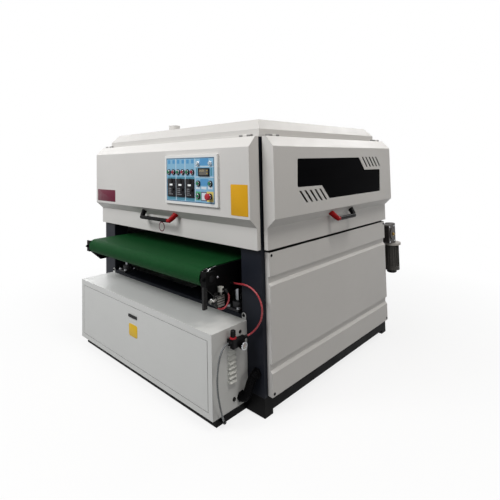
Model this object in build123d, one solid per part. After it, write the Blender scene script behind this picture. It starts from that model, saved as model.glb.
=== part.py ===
"""Brush sanding machine: welded frame, lifting feed table, two brush rollers under hinged covers.

Millimetres. X to the right, Y into the machine, Z up. The origin is under the middle of the
whole machine, on the floor. Heights are over the floor. Depths named from the front are
measured from the flat face of the front cover and turned into Y by at_depth().
"""
import math
import os

from build123d import *

# Working width of the brushes, and the hood around them between the flat faces of its covers
WORKING_WIDTH = 1300.0
HOOD_SIDE = 330.0
HOOD_DEPTH = 1650.0

# Sheet covers
SHEET = 3.0
COVER_DEPTH = 80.0
COVER_END_INSET = 94.0
SKIRT_RECESS = 54.0
SKIRT_Z = 897.0
BEVEL_LOW_Z = 1018.0
FACE_LOW_Z = 1069.0
FACE_TOP_Z = 1465.0
COVER_TOP_Z = 1524.0

# Lid
LID_INSET = 124.0
LID_SKIRT = 33.0
LID_BEVEL_RUN = 47.0
LID_BEVEL_RISE = 60.0

# Cover hinges
HINGE_BACK = 70.0
HINGE_LIFT = 7.0
HINGE_END = 90.0
KNUCKLE_R = 6.0
HINGE_PIN_R = 3.0
KNUCKLE_LENGTH = 30.0

# Frame
COLUMN_WIDTH = 155.0
COLUMN_DEPTH = 120.0
COLUMN_SIDE_INSET = 93.0
COLUMN_FRONT_INSET = 83.0
COLUMN_WALL = 6.0
FOOT_HEIGHT = 25.0
FOOT_DEPTH = 68.0
FOOT_EAR = 60.0
ANCHOR_R = 9.0
BASE_TOP_Z = 105.0
BEAM_HEIGHT = 100.0
LIFT_BEAM_TOP_Z = 511.0
RING_HEIGHT = 80.0
RAIL_WIDTH = 100.0
RAIL_HEIGHT = 80.0
RAIL_TOP_Z = 970.0
SHELF_Z = 1230.0
SHELF_WIDTH = 272.0
PLATE = 8.0
FRAME_OVER_COVER = 13.0

# Lower panels
PANEL_STANDOFF = 34.0
PANEL_END_INSET = 111.0
PANEL_LOW_Z = 110.0
PANEL_TOP_Z = 881.0
PANEL_SCREW_INSET = 16.0
REAR_PANEL_INSET = 9.0
GROOVE_Z = (234.0, 700.0)
GROOVE_HEIGHT = 52.0
GROOVE_DEEP = 13.0
GROOVE_LEDGE = 3.0
GROOVE_SLOPE = 15.0

# Electric cabinet in front of the columns
CABINET_LAP = 32.0
CABINET_PROUD = 182.0
CABINET_LOW_Z = 53.5
CABINET_TOP_Z = 490.0
CABINET_SHEET = 2.5
PLINTH_SIDE_INSET = 17.0
PLINTH_FRONT_INSET = 39.0
PLINTH_WALL = 4.0
DOOR_SIDE = 37.0
DOOR_LOW_Z = 88.0
DOOR_TOP_Z = 448.0
DOOR_GAP = 3.5
DOOR_RETURN = 18.0
DOOR_PIVOT = 6.0
DOOR_PIN_R = 3.0
LATCH_SIZE = (98.0, 6.0, 17.0)
LATCH_DROP = 57.0
LATCH_SHAFT_R = 6.0
LATCH_CAM = 76.0
LATCH_CAM_WIDTH = 18.0
LATCH_CAM_BACK = (5.0, 9.0)
LATCH_GAP = 0.3
LUG_R = 15.0
LUG_HEIGHT = 37.0
LUG_X_FROM_COLUMN = 13.0
LUG_HOLE_R = 5.0
PIVOT_TAB = (3.0, 20.0)
CABLE_HOLE_R = 8.0
CABLE_HOLE_SPOT = (29.0, 443.0)
LATCH_X = -7.0
LOUVRE_COUNT = 7
LOUVRE_PITCH = 25.0
LOUVRE_LOW_Z = 200.0
LOUVRE_WIDTH = 56.0
LOUVRE_RISE = 17.0
LOUVRE_PROUD = 9.0
LOUVRE_END = 10.0
LOUVRE_SLOT = 6.0
LOUVRE_LIP = 3.0
LOUVRE_DEPTH_FROM_FRONT = -43.0

# Switchgear on its plate, devices as (width, height, depth)
GEAR_STANDOFF = 18.0
GEAR_STANDOFF_R = 8.0
GEAR_PLATE = 3.0
GEAR_SIDE = 45.0
GEAR_END = 17.0
DUCT_HEIGHT = 40.0
DUCT_DEPTH = 50.0
GEAR_GAP = 24.0
BREAKER = (110.0, 130.0, 70.0)
CONTACTOR = (46.0, 85.0, 78.0)
CONTACTOR_COUNT = 6
TRANSFORMER = (130.0, 120.0, 95.0)
TERMINALS = (380.0, 46.0, 44.0)

# Feed table
BELT_MARGIN = 10.0
BELT_TOP_Z = 805.0
BELT_THICK = 4.0
ROLLER_R = 47.0
ROLLER_WALL = 6.0
ROLLER_END_GAP = 4.0
ROLLER_DISC = 12.0
ROLLER_DISC_INSET = 10.0
DISC_HOLE_R = 7.0
DISC_HOLE_AT = 28.0
ROLLER_SHAFT_R = 15.0
SHAFT_END_GAP = 2.0
IDLER_REACH = 122.0
DRIVE_REACH = 77.0
TABLE_PLATE = 10.0
TABLE_SIDE_GAP = 4.0
TABLE_LOW_Z = 640.0
TIE_HEIGHT = 45.0
TIE_WIDTH = 80.0
BED_THICK = 9.0
BED_GAP = 8.0
TIE_LIFT = 5.0
SHAFT_ROOM = 2.0
TAKE_UP_HEIGHT = 82.0
TAKE_UP_BLOCK = (30.0, 64.0, 70.0)
TENSION_SCREW_R = 6.0
TENSION_NUT = (19.0, 10.0)
END_PLATE_LAP = 6.0
TENSION_SCREW_TIP = 184.0
NOSE = 34.0
TAIL = 40.0
END_PLATE = 10.0
LIFT_ROD_R = 16.0
LIFT_ROD_INSET = 92.0
LIFT_ROD_LOW_Z = 300.0
LIFT_ROD_ROOM = 4.0
LIFT_FLANGE = 104.0
LIFT_FLANGE_THICK = 14.0
LIFT_BOLT_SPREAD = 39.0
BUSH_R = 33.0
BUSH_HEIGHT = 46.0
NUT_HOUSING = 90.0
NUT_HOUSING_HEIGHT = 70.0
NUT_HOUSING_ROUND = 12.0

# Feed drive, worm gearbox with the motor hanging under it
GEARBOX_WIDTH = 92.0
GEARBOX_HALF_HEIGHT = 80.0
GEARBOX_INNER = 60.0
WORM_OFFSET = 50.0
WORM_HOUSING_R = 40.0
DRIVE_FACE_INSET = 70.0
GEARBOX_CASE_INSET = 8.0
GEARBOX_ROUND = 16.0
HUB_R = 46.0
TORQUE_ARM = 40.0
MOTOR_FLANGE_R = 80.0
MOTOR_FLANGE = 16.0
FEED_MOTOR_R = 64.0
FEED_FIN_DEEP = 6.0
FEED_FIN_COUNT = 20
FIN_THICK = 3.0
FEED_SHIELD = 34.0
FEED_CAP_R = 40.0
FEED_CAP = 29.0
FEED_CAP_ROUND = 12.0
TERMINAL_BOX = (34.0, 76.0, 80.0)
TERMINAL_SINK = 8.0
TERMINAL_ROUND = 6.0
FEED_MOTOR_LENGTH = 237.0

# Brush rollers and their drives
BRUSH_Z = 1040.0
BRUSH_PITCH = 220.0
BRUSH_R = 160.0
DRUM_R = 110.0
DRUM_WALL = 10.0
WEB = 12.0
WEB_INSET = 15.0
WEB_HOLES = 3
WEB_HOLE_R = 25.0
WEB_HOLE_AT = 60.0
BRUSH_SHAFT_R = 20.0
SHAFT_TAIL = 6.0
STRIP_INSET = 5.0
STRIP_COUNT = 16
STRIP_THICK = 8.0
BEARING_WIDTH = 60.0
PILLOW_FOOT = (190.0, 22.0)
PILLOW_SIDE = 5.0
PILLOW_R = 48.0
PILLOW_SHOULDER = 66.0
PULLEY_R = 70.0
PULLEY_WIDTH = 23.0
DRIVE_BELT_WIDTH = 13.0
DRIVE_BELT_THICK = 8.0
PULLEY_GAP = 8.0
GROOVE_UNDER = 2.0
DRIVE_CENTRES = 290.0
BRUSH_MOTOR_R = 90.0
BRUSH_MOTOR_LENGTH = 260.0
BRUSH_FIN_DEEP = 9.0
BRUSH_FIN_COUNT = 28
BRUSH_SHIELD = 26.0
BRUSH_COWL = 58.0
BRUSH_COWL_ROUND = 10.0
MOTOR_RAIL_GAP = 4.0
MOTOR_FOOT = (34.0, 160.0, 14.0)
MOTOR_BOX = (110.0, 90.0, 34.0)
MOTOR_NOSE = 24.0
MOTOR_SHAFT_R = 14.0
HOLD_DOWN_INSET = 330.0
HOLD_DOWN_R = 30.0
HOLD_DOWN_Z = 905.0
HOLD_DOWN_SHAFT_R = 12.5
BRACKET_PLATE = 16.0
HANGER_WIDTH = 70.0
HANGER_DROP = 32.0
HOLD_DOWN_END_GAP = 2.0

# Control box on the front cover, rims of its frame around the face plate
BOX_FROM_END = 240.0
BOX_LOW_Z = 1121.0
BOX_RIM = 17.0
BOX_RIM_RIGHT = 24.0
BOX_PROUD = 14.0
FACE_END = 34.0
FACE_HEAD = 37.0
FACE_PLATE = 3.0
FACE_LEDGE = 7.0
COLLAR_R = 15.0
COLLAR_PROUD = 8.0
BARREL_R = 12.0
BUTTON_R = 10.0
BUTTON_PROUD = 6.0
BUTTON_TRAVEL = 5.0
BUTTON_EDGE = 1.2
BUTTON_SEAT = 4.0
BUTTON_CLEAR = 1.0
LAMP_PROUD = 5.0
LAMP_ROUND = 3.5
STOP_HEAD_R = 20.0
STOP_HEAD = 14.0
STOP_ROUND = 7.0
STOP_CLEAR = 7.0
INSTRUMENT_LAP = 4.0
INVERTER_PROUD = 4.0
INVERTER_BACK = 50.0
METER_PROUD = 5.0
METER_BACK = 20.0

# Instruments on the face plate, (across, up) from its lower left corner
ROW_UP = 187.0
ROW_ACROSS = (31.0, 80.0, 129.0, 177.0, 225.0, 273.0)
INVERTER_ACROSS = (61.5, 156.5, 251.5)
INVERTER_UP = 87.0
INVERTER_SIZE = (76.0, 114.0)
METER_SPOT = (383.0, 188.0)
METER_SIZE = (99.0, 49.0)
LAMP_SPOTS = ((329.0, 240.0), (441.0, 240.0))
TABLE_BUTTON_SPOTS = ((330.0, 119.0), (439.0, 120.0))
START_SPOT = (327.0, 43.0)
STOP_SPOT = (437.0, 44.0)

# Window and vent slots of a side cover, (depth from the front, height)
WINDOW = ((312.0, 1395.0), (305.0, 1229.0), (559.0, 1227.0), (644.0, 1140.0),
          (1362.0, 1140.0), (1370.0, 1305.0), (1127.0, 1308.0), (1048.0, 1397.0))
WINDOW_ROUND = 12.0
PANE_LAP = 8.0
PANE_THICK = 4.0
SLOT_COUNT = 5
SLOT_PITCH = 52.0
SLOT_WIDTH = 20.0
SLOT_LOW = ((320.0, 1207.0), (389.0, 1135.0))
SLOT_HIGH = ((1091.0, 1400.0), (1156.0, 1328.0))

# Handles on the lower bevels
HANDLE_R = 9.0
HANDLE_ARM_R = 13.0
HANDLE_STAND = 55.6
HANDLE_ROOT_SPREAD = 22.0
ARM_SINK = 0.4
FRONT_HANDLE_LENGTH = 336.0
SIDE_HANDLE_LENGTH = 212.0

# Air preparation on the right side of the cabinet
REGULATOR_SIZE = (28.0, 28.0, 50.0)
REGULATOR_DEPTH = -61.0
REGULATOR_LOW_Z = 395.0
REGULATOR_OFF = 22.0
KNOB_R = 13.0
KNOB_HEIGHT = 44.0
KNOB_STEM_R = 9.0
KNOB_STEM = 12.0
KNOB_EDGE = 3.0
KNOB_SEAT_GAP = 0.5
KNOB_RING = 8.0
KNOB_RING_LAP = 5.0
REGULATOR_EDGE = 4.0
REGULATOR_ARM = (22.0, 34.0)
OUTLET_LENGTH = 71.0
OUTLET_WIDTH = 20.0
GAUGE_R = 20.5
GAUGE_THICK = 22.0
GAUGE_BACK = 43.0
FITTING_R = 9.0
FITTING_LENGTH = 20.0
FITTING_KNEE_R = 10.5
GROMMET_R = 11.0
GROMMET_PROUD = 6.0
GROMMET_SPOT = (-28.0, 104.0)

# Air tubes, hand-laid routes as (x, depth from the front, height)
TUBE_R = 5.0
TUBE_END_RUN = 24.0
LONG_TUBE_ROUTE = ((868.0, 57.0, 484.0), (900.0, 57.0, 534.0), (912.0, 55.0, 596.0),
                   (890.0, 54.0, 653.0), (842.0, 54.0, 687.0), (790.0, 54.0, 697.0),
                   (744.0, 54.0, 693.0))
SUPPLY_ROUTE = ((802.0, -156.0, 398.0), (804.0, -178.0, 335.0), (804.0, -184.0, 270.0),
                (804.0, -181.0, 208.0), (804.0, -168.0, 146.0))
SUPPLY_END = (-108.0, 24.0)
SUPPLY_STAND = 25.0

# Belt tracking unit on the right side plate
CARRIER_THICK = 6.0
CARRIER_DEPTHS = (-84.0, -20.0)
CARRIER_HEIGHTS = (588.0, 660.0)
CYLINDER_WIDTH = 24.0
CYLINDER_DEPTHS = (-81.0, -28.0)
CYLINDER_HEIGHTS = (588.0, 645.0)
CYLINDER_GROOVES = 4
CYLINDER_GROOVE_PITCH = 13.0
CYLINDER_GROOVE = 5.0
CYLINDER_GROOVE_DEEP = 2.0
STEM_R = 7.0
STEM_LENGTH = 20.0
CAP_DEPTH = -44.0
CAP_R = 17.0
CAP_LENGTH = 25.0
VALVE_Z = 628.0
VALVE_R = 7.0
VALVE_NUT_R = 13.0
VALVE_LENGTH = 52.0
VALVE_NUT_LENGTH = 9.0
VALVE_NUT_AT = 23.0
PORT_R = 8.0
PORT_LENGTH = 22.0
ELBOW_R = 7.0
ELBOW_KNEE_R = 8.0
ELBOW_LENGTH = 20.0
LOOP_X = 732.0
LOOP_FOOT = (-122.0, 622.0)
LOOP_HEAD = (-43.0, 681.0)
LONG_TUBE_HEAD = (54.0, 690.0)
SENSOR_DROP = 121.0
SENSOR_PLATE = 14.0
SENSOR_WIDTH = 26.0

# Cable conduit from the cabinet to the right column
CONDUIT_R = 24.0
CONDUIT_DEPTH = 24.0
CONDUIT_LOW_Z = 100.0
CONDUIT_TOP_Z = 225.0
CONDUIT_X_INSET = 142.0
CONDUIT_LEAD = 29.0
CONDUIT_RIB = 10.0
CONDUIT_RIB_DEEP = 3.0
CONDUIT_WALL = 2.0
CONDUIT_BEND = 0.47
GLAND_R = 30.0
GLAND_LENGTH = 14.0

# Dust outlet on the lid
DUST_X = -565.0
DUST_DEPTH = 580.0
DUST_R = 50.0
DUST_WALL = 2.0
DUST_HEIGHT = 90.0

# Bolt heads as (across flats, height)
PANEL_HEAD = (16.0, 6.0)
LIFT_HEAD = (17.0, 8.0)

# Fits
RUN_FIT = 0.05
SEAT_FIT = 0.02

# Derived positions
HALF_WIDTH = WORKING_WIDTH / 2 + HOOD_SIDE
FRONT_REACH = CABINET_PROUD + LATCH_SIZE[1]
REAR_REACH = HOOD_DEPTH + DRIVE_REACH + WORM_OFFSET + MOTOR_FLANGE_R
FRONT_Y = -(REAR_REACH - FRONT_REACH) / 2
HOOD_MID_Y = FRONT_Y + HOOD_DEPTH / 2
COLUMN_OUT = HALF_WIDTH - COLUMN_SIDE_INSET
COLUMN_IN = COLUMN_OUT - COLUMN_WIDTH
FRAME_TOP_Z = COVER_TOP_Z + FRAME_OVER_COVER
HINGE_Z = COVER_TOP_Z + HINGE_LIFT
LID_TOP_Z = FRAME_TOP_Z + LID_SKIRT + LID_BEVEL_RISE
CABINET_HALF = COLUMN_IN + CABINET_LAP
DOOR_HALF = CABINET_HALF - DOOR_SIDE
BELT_HALF = WORKING_WIDTH / 2 + BELT_MARGIN
ROLLER_Z = BELT_TOP_Z - BELT_THICK - ROLLER_R
PLATE_IN = BELT_HALF + TABLE_SIDE_GAP
PLATE_OUT = PLATE_IN + TABLE_PLATE
IDLER_DEPTH = -IDLER_REACH
DRIVE_DEPTH = HOOD_DEPTH + DRIVE_REACH
LIFT_ROD_X = COLUMN_IN - LIFT_ROD_INSET
LIFT_DEPTH = COLUMN_FRONT_INSET + COLUMN_DEPTH / 2
TIE_LOW_Z = TABLE_LOW_Z + TIE_LIFT
GEARBOX_OUT = HALF_WIDTH - DRIVE_FACE_INSET
GEARBOX_X0 = GEARBOX_OUT - GEARBOX_WIDTH
WORM_X = GEARBOX_OUT - GEARBOX_WIDTH / 2
WORM_DEPTH = DRIVE_DEPTH + WORM_OFFSET
RAIL_OUT = COLUMN_IN + RAIL_WIDTH
PULLEY_X0 = RAIL_OUT + PULLEY_GAP
PULLEY_X1 = PULLEY_X0 + PULLEY_WIDTH
BRUSH_MOTOR_Z = BRUSH_Z + DRIVE_CENTRES
HOLD_DOWN_DEPTHS = (HOLD_DOWN_INSET, HOOD_DEPTH - HOLD_DOWN_INSET)
BRUSH_DEPTHS = (HOLD_DOWN_DEPTHS[0] + BRUSH_PITCH, HOLD_DOWN_DEPTHS[1] - BRUSH_PITCH)
FRONT_LENGTH = 2 * (HALF_WIDTH - COVER_END_INSET)
SIDE_LENGTH = HOOD_DEPTH - 2 * COVER_END_INSET
FACE_WIDTH = LAMP_SPOTS[-1][0] + FACE_END
FACE_HEIGHT = LAMP_SPOTS[-1][1] + FACE_HEAD
BOX_WIDTH = BOX_RIM + FACE_WIDTH + BOX_RIM_RIGHT
BOX_HEIGHT = FACE_HEIGHT + 2 * BOX_RIM
BOX_LEFT = FRONT_LENGTH / 2 - BOX_FROM_END - BOX_WIDTH
FACE_LEFT = BOX_LEFT + BOX_RIM
FACE_LOW = BOX_LOW_Z + BOX_RIM
FACE_Y = -BOX_PROUD
COLLAR_Y = FACE_Y - COLLAR_PROUD
LATCH_Z = DOOR_TOP_Z - LATCH_DROP

SIDES = (-1, 1)
START = (Align.CENTER, Align.CENTER, Align.MIN)


def at_depth(depth):
    """Y of a depth measured from the flat face of the front cover."""
    return FRONT_Y + depth


def block(x0, x1, y0, y1, z0, z1):
    """Box between two corners."""
    middle = Pos((x0 + x1) / 2, (y0 + y1) / 2, (z0 + z1) / 2)
    return middle * Box(abs(x1 - x0), abs(y1 - y0), abs(z1 - z0))


def deep_block(x0, x1, d0, d1, z0, z1):
    """Box between two corners whose Y is given as a depth from the front."""
    return block(x0, x1, at_depth(d0), at_depth(d1), z0, z1)


def rod(start, direction, radius, length):
    """Cylinder from a point along a direction."""
    return Plane(origin=start, z_dir=direction) * Cylinder(radius, length, align=START)


def rod_x(x0, x1, y, z, radius):
    """Cylinder along X."""
    return rod((x0, y, z), (1, 0, 0), radius, x1 - x0)


def rod_y(y0, y1, x, z, radius):
    """Cylinder along Y."""
    return rod((x, y0, z), (0, 1, 0), radius, y1 - y0)


def rod_z(z0, z1, x, y, radius):
    """Cylinder along Z."""
    return rod((x, y, z0), (0, 0, 1), radius, z1 - z0)


def prism_x(points, x0, x1):
    """Closed (y, z) outline drawn out along X."""
    return extrude(Plane.YZ.offset(x0) * make_face(Polyline(*points, close=True)), x1 - x0)


def prism_y(points, y0, y1):
    """Closed (x, z) outline drawn out along Y."""
    return extrude(Plane.XZ.offset(-y1) * make_face(Polyline(*points, close=True)), y1 - y0)


def hex_head(centre, direction, across, height):
    """Hexagon bolt head standing on a face."""
    plane = Plane(origin=centre, z_dir=direction)
    return extrude(plane * RegularPolygon(across / 2, 6, major_radius=False), height)


def inset_line(points, distance):
    """Open outline moved sideways to its right, corners kept sharp."""
    legs = []
    for (a0, b0), (a1, b1) in zip(points, points[1:]):
        run = math.hypot(a1 - a0, b1 - b0)
        da = (a1 - a0) / run
        db = (b1 - b0) / run
        legs.append((a0 + db * distance, b0 - da * distance, da, db))
    moved = [legs[0][:2]]
    for (a0, b0, da, db), (a1, b1, ea, eb) in zip(legs, legs[1:]):
        cross = da * eb - db * ea
        along = ((a1 - a0) * eb - (b1 - b0) * ea) / cross
        moved.append((a0 + da * along, b0 + db * along))
    run = math.hypot(points[-1][0] - points[-2][0], points[-1][1] - points[-2][1])
    a0, b0, da, db = legs[-1]
    moved.append((a0 + da * run, b0 + db * run))
    return moved


def save(name, *shapes):
    """Write one node: a single solid, or several kept apart."""
    solids = []
    for shape in shapes:
        solids.extend(shape.solids())
    if len(solids) == 1:
        export_step(solids[0], f"parts/{name}.step")
    else:
        export_step(Compound(solids), f"parts/{name}.step")


# Frame


def open_channel(x0, x1, y0, y1, z0, z1, wall):
    """Channel with closed ends, open underneath."""
    inner = block(x0 + wall, x1 - wall, y0 + wall, y1 - wall, z0 - 1, z1 - wall)
    return block(x0, x1, y0, y1, z0, z1) - inner


def make_base():
    """Base: two side channels on feet, front and rear bars, plinth under the cabinet."""
    front = at_depth(COLUMN_FRONT_INSET)
    rear = at_depth(HOOD_DEPTH - COLUMN_FRONT_INSET)
    bar = 2 * COLUMN_WALL
    base = block(-COLUMN_IN, COLUMN_IN, front, front + bar, FOOT_HEIGHT, BASE_TOP_Z)
    base += block(-COLUMN_IN, COLUMN_IN, rear - bar, rear, FOOT_HEIGHT, BASE_TOP_Z)
    for side in SIDES:
        x0, x1 = sorted((side * COLUMN_IN, side * COLUMN_OUT))
        base += open_channel(x0, x1, front, rear, FOOT_HEIGHT, BASE_TOP_Z, COLUMN_WALL)
        ear0, ear1 = sorted((side * (COLUMN_IN - FOOT_EAR), side * COLUMN_OUT))
        for y0 in (front, rear - FOOT_DEPTH):
            base += block(ear0, ear1, y0, y0 + FOOT_DEPTH, 0, FOOT_HEIGHT)
    for x, y in anchor_points():
        base -= rod_z(-1, BASE_TOP_Z, x, y, ANCHOR_R)
    half = CABINET_HALF - PLINTH_SIDE_INSET
    nose = at_depth(-CABINET_PROUD + PLINTH_FRONT_INSET)
    base += block(-half, half, nose, nose + PLINTH_WALL, 0, CABINET_LOW_Z)
    for side in SIDES:
        x0, x1 = sorted((side * half, side * (half - PLINTH_WALL)))
        base += block(x0, x1, nose, front, 0, CABINET_LOW_Z)
    return base


def anchor_points():
    """Floor anchor holes in the inner ears of the feet."""
    x = COLUMN_IN - FOOT_EAR / 2
    front = at_depth(COLUMN_FRONT_INSET + FOOT_DEPTH / 2)
    rear = at_depth(HOOD_DEPTH - COLUMN_FRONT_INSET - FOOT_DEPTH / 2)
    return [(side * x, y) for side in SIDES for y in (front, rear)]


def make_main_frame():
    """Columns, lift beams, roller rails, motor shelf and top ring in one weldment."""
    front = at_depth(COLUMN_FRONT_INSET)
    rear = at_depth(HOOD_DEPTH - COLUMN_FRONT_INSET)
    inner_front = front + COLUMN_DEPTH
    inner_rear = rear - COLUMN_DEPTH
    frame = None
    for side in SIDES:
        x0, x1 = sorted((side * COLUMN_IN, side * COLUMN_OUT))
        for y0 in (front, inner_rear):
            post = block(x0, x1, y0, y0 + COLUMN_DEPTH, BASE_TOP_Z, FRAME_TOP_Z)
            post -= block(x0 + COLUMN_WALL, x1 - COLUMN_WALL, y0 + COLUMN_WALL,
                          y0 + COLUMN_DEPTH - COLUMN_WALL, BASE_TOP_Z - 1, FRAME_TOP_Z + 1)
            frame = post if frame is None else frame + post
        rail0, rail1 = sorted((side * COLUMN_IN, side * RAIL_OUT))
        frame += open_channel(rail0, rail1, inner_front, inner_rear,
                              RAIL_TOP_Z - RAIL_HEIGHT, RAIL_TOP_Z, COLUMN_WALL)
        ring0, ring1 = sorted((side * (COLUMN_OUT - RING_HEIGHT), side * COLUMN_OUT))
        frame += open_channel(ring0, ring1, inner_front, inner_rear,
                              FRAME_TOP_Z - RING_HEIGHT, FRAME_TOP_Z, COLUMN_WALL)
    for y0 in (front, rear - RING_HEIGHT):
        frame += open_channel(-COLUMN_IN, COLUMN_IN, y0, y0 + RING_HEIGHT,
                              FRAME_TOP_Z - RING_HEIGHT, FRAME_TOP_Z, COLUMN_WALL)
    for y0 in (front, inner_rear):
        frame += open_channel(-COLUMN_IN, COLUMN_IN, y0, y0 + COLUMN_DEPTH,
                              LIFT_BEAM_TOP_Z - BEAM_HEIGHT, LIFT_BEAM_TOP_Z, COLUMN_WALL)
    frame += block(RAIL_OUT - SHELF_WIDTH, RAIL_OUT, inner_front, inner_rear, SHELF_Z - PLATE, SHELF_Z)
    for x, y in lift_points():
        frame -= rod_z(LIFT_BEAM_TOP_Z - BEAM_HEIGHT, LIFT_BEAM_TOP_Z + 1, x, y, LIFT_ROD_R + LIFT_ROD_ROOM)
    gland_y = at_depth(COLUMN_FRONT_INSET)
    frame -= rod_y(gland_y - 1, gland_y + COLUMN_WALL + 1, HALF_WIDTH - CONDUIT_X_INSET,
                   CONDUIT_TOP_Z, conduit_bore())
    return frame


def lift_points():
    """Middles of the four lift rods."""
    front = at_depth(LIFT_DEPTH)
    rear = at_depth(HOOD_DEPTH - LIFT_DEPTH)
    return [(side * LIFT_ROD_X, y) for side in SIDES for y in (front, rear)]


def make_lid():
    """Pan-shaped lid, open underneath, with the welded dust spigot."""
    half_x = HALF_WIDTH - LID_INSET
    half_y = HOOD_DEPTH / 2 - LID_INSET
    shoulder = FRAME_TOP_Z + LID_SKIRT

    def pan(shrink, low, drop):
        at = Pos(0, HOOD_MID_Y, 0)
        wide = Rectangle(2 * (half_x - shrink), 2 * (half_y - shrink))
        tight = Rectangle(2 * (half_x - shrink - LID_BEVEL_RUN), 2 * (half_y - shrink - LID_BEVEL_RUN))
        skirt = extrude(at * Pos(0, 0, low) * wide, shoulder - low)
        crown = loft([at * Pos(0, 0, shoulder) * wide, at * Pos(0, 0, LID_TOP_Z - drop) * tight])
        return skirt + crown

    lid = pan(0, FRAME_TOP_Z, 0) - pan(SHEET, FRAME_TOP_Z - 1, SHEET)
    y = at_depth(DUST_DEPTH)
    spout_z = LID_TOP_Z + DUST_HEIGHT
    lid += rod_z(LID_TOP_Z - SHEET / 2, spout_z, DUST_X, y, DUST_R)
    return lid - rod_z(FRAME_TOP_Z, spout_z + 1, DUST_X, y, DUST_R - DUST_WALL)


def make_side_panel(side):
    """Lower side panel: a pan standing off the columns, two pressed grooves along it."""
    face = COLUMN_OUT + PANEL_STANDOFF

    def outline(wall, edge_x):
        out = face - wall
        points = [(edge_x, PANEL_LOW_Z + wall), (out, PANEL_LOW_Z + wall)]
        for z in GROOVE_Z:
            top = z + GROOVE_HEIGHT
            floor = out - GROOVE_DEEP
            points += [(out, z), (floor, z + GROOVE_SLOPE), (floor, top - GROOVE_LEDGE), (out, top)]
        points += [(out, PANEL_TOP_Z - wall), (edge_x, PANEL_TOP_Z - wall)]
        return [(side * x, z) for x, z in points]

    y0 = at_depth(PANEL_END_INSET)
    y1 = at_depth(HOOD_DEPTH - PANEL_END_INSET)
    pan = prism_y(outline(0, COLUMN_OUT), y0, y1)
    return pan - prism_y(outline(SHEET, COLUMN_OUT - 1), y0 + SHEET, y1 - SHEET)


def make_rear_panel():
    """Flat closing sheet between the rear columns, under the lift beam."""
    d1 = HOOD_DEPTH - COLUMN_FRONT_INSET - REAR_PANEL_INSET
    return deep_block(-COLUMN_IN, COLUMN_IN, d1 - SHEET, d1, PANEL_LOW_Z, LIFT_BEAM_TOP_Z - BEAM_HEIGHT)


def panel_screw_points(side):
    """Corner screws of a lower side panel."""
    x = side * (COLUMN_OUT + PANEL_STANDOFF)
    d0 = PANEL_END_INSET + PANEL_SCREW_INSET
    depths = (d0, HOOD_DEPTH - d0)
    heights = (PANEL_LOW_Z + PANEL_SCREW_INSET, PANEL_TOP_Z - PANEL_SCREW_INSET)
    return [(x, at_depth(d), z) for d in depths for z in heights]


# Covers

COVER_LINE = [(COVER_DEPTH, SKIRT_Z), (SKIRT_RECESS, SKIRT_Z), (SKIRT_RECESS, BEVEL_LOW_Z),
              (0.0, FACE_LOW_Z), (0.0, FACE_TOP_Z), (SKIRT_RECESS, COVER_TOP_Z),
              (COVER_DEPTH, COVER_TOP_Z)]
AT_FRONT = Location((0, FRONT_Y, 0))
AT_RIGHT = Location((HALF_WIDTH, HOOD_MID_Y, 0), (0, 0, 90))
AT_REAR = Location((0, FRONT_Y + HOOD_DEPTH, 0), (0, 0, 180))
AT_LEFT = Location((-HALF_WIDTH, HOOD_MID_Y, 0), (0, 0, -90))


def hinge_spots(length):
    """Middles of the two hinges along a cover."""
    return (-(length / 2 - HINGE_END), length / 2 - HINGE_END)


def make_cover(length):
    """Bent sheet cover with end walls and two hinge ears, its flat face on y = 0."""
    hollow = inset_line(COVER_LINE, SHEET)
    hollow[0] = (hollow[0][0] + 1, hollow[0][1])
    hollow[-1] = (hollow[-1][0] + 1, hollow[-1][1])
    half = length / 2
    cover = prism_x(COVER_LINE, -half, half) - prism_x(hollow, -half + SHEET, half - SHEET)
    for spot in hinge_spots(length):
        u0 = spot - KNUCKLE_LENGTH / 2
        u1 = spot + KNUCKLE_LENGTH / 2
        ear = block(u0, u1, HINGE_BACK - KNUCKLE_R, HINGE_BACK + KNUCKLE_R, COVER_TOP_Z - 1, HINGE_Z)
        ear += rod_x(u0, u1, HINGE_BACK, HINGE_Z, KNUCKLE_R)
        cover += ear - rod_x(u0 - 1, u1 + 1, HINGE_BACK, HINGE_Z, HINGE_PIN_R + RUN_FIT)
    return cover


def make_hinges(length, column_inset):
    """Fixed halves of a cover's hinges: pin, two knuckles, blocks to the columns."""
    hinges = []
    for spot in hinge_spots(length):
        near = KNUCKLE_LENGTH / 2 + 0.5
        far = near + KNUCKLE_LENGTH
        fixed = rod_x(spot - far, spot + far, HINGE_BACK, HINGE_Z, HINGE_PIN_R)
        for side in SIDES:
            u0, u1 = sorted((spot + side * near, spot + side * far))
            fixed += rod_x(u0, u1, HINGE_BACK, HINGE_Z, KNUCKLE_R)
            fixed += block(u0, u1, HINGE_BACK, column_inset, HINGE_Z - KNUCKLE_R, HINGE_Z + KNUCKLE_R)
        hinges.append(fixed)
    return hinges


def make_front_cover():
    """Front cover with the opening behind the control box."""
    cover = make_cover(FRONT_LENGTH)
    return cover - block(FACE_LEFT + FACE_LEDGE, FACE_LEFT + FACE_WIDTH - FACE_LEDGE, -1, SHEET + 1,
                         FACE_LOW + FACE_LEDGE, FACE_LOW + FACE_HEIGHT - FACE_LEDGE)


def vent_slots(first):
    """Row of slanted vent slots, given the top and bottom of the first one."""
    (top, high), (foot, low) = first
    slots = []
    for i in range(SLOT_COUNT):
        shift = i * SLOT_PITCH - HOOD_DEPTH / 2
        corners = [(top + shift, high), (top + shift + SLOT_WIDTH, high),
                   (foot + shift + SLOT_WIDTH, low), (foot + shift, low)]
        slots.append(extrude(Plane.XZ.offset(-SHEET - 1) * make_face(Polyline(*corners, close=True)),
                             SHEET + 2))
    return slots


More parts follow.
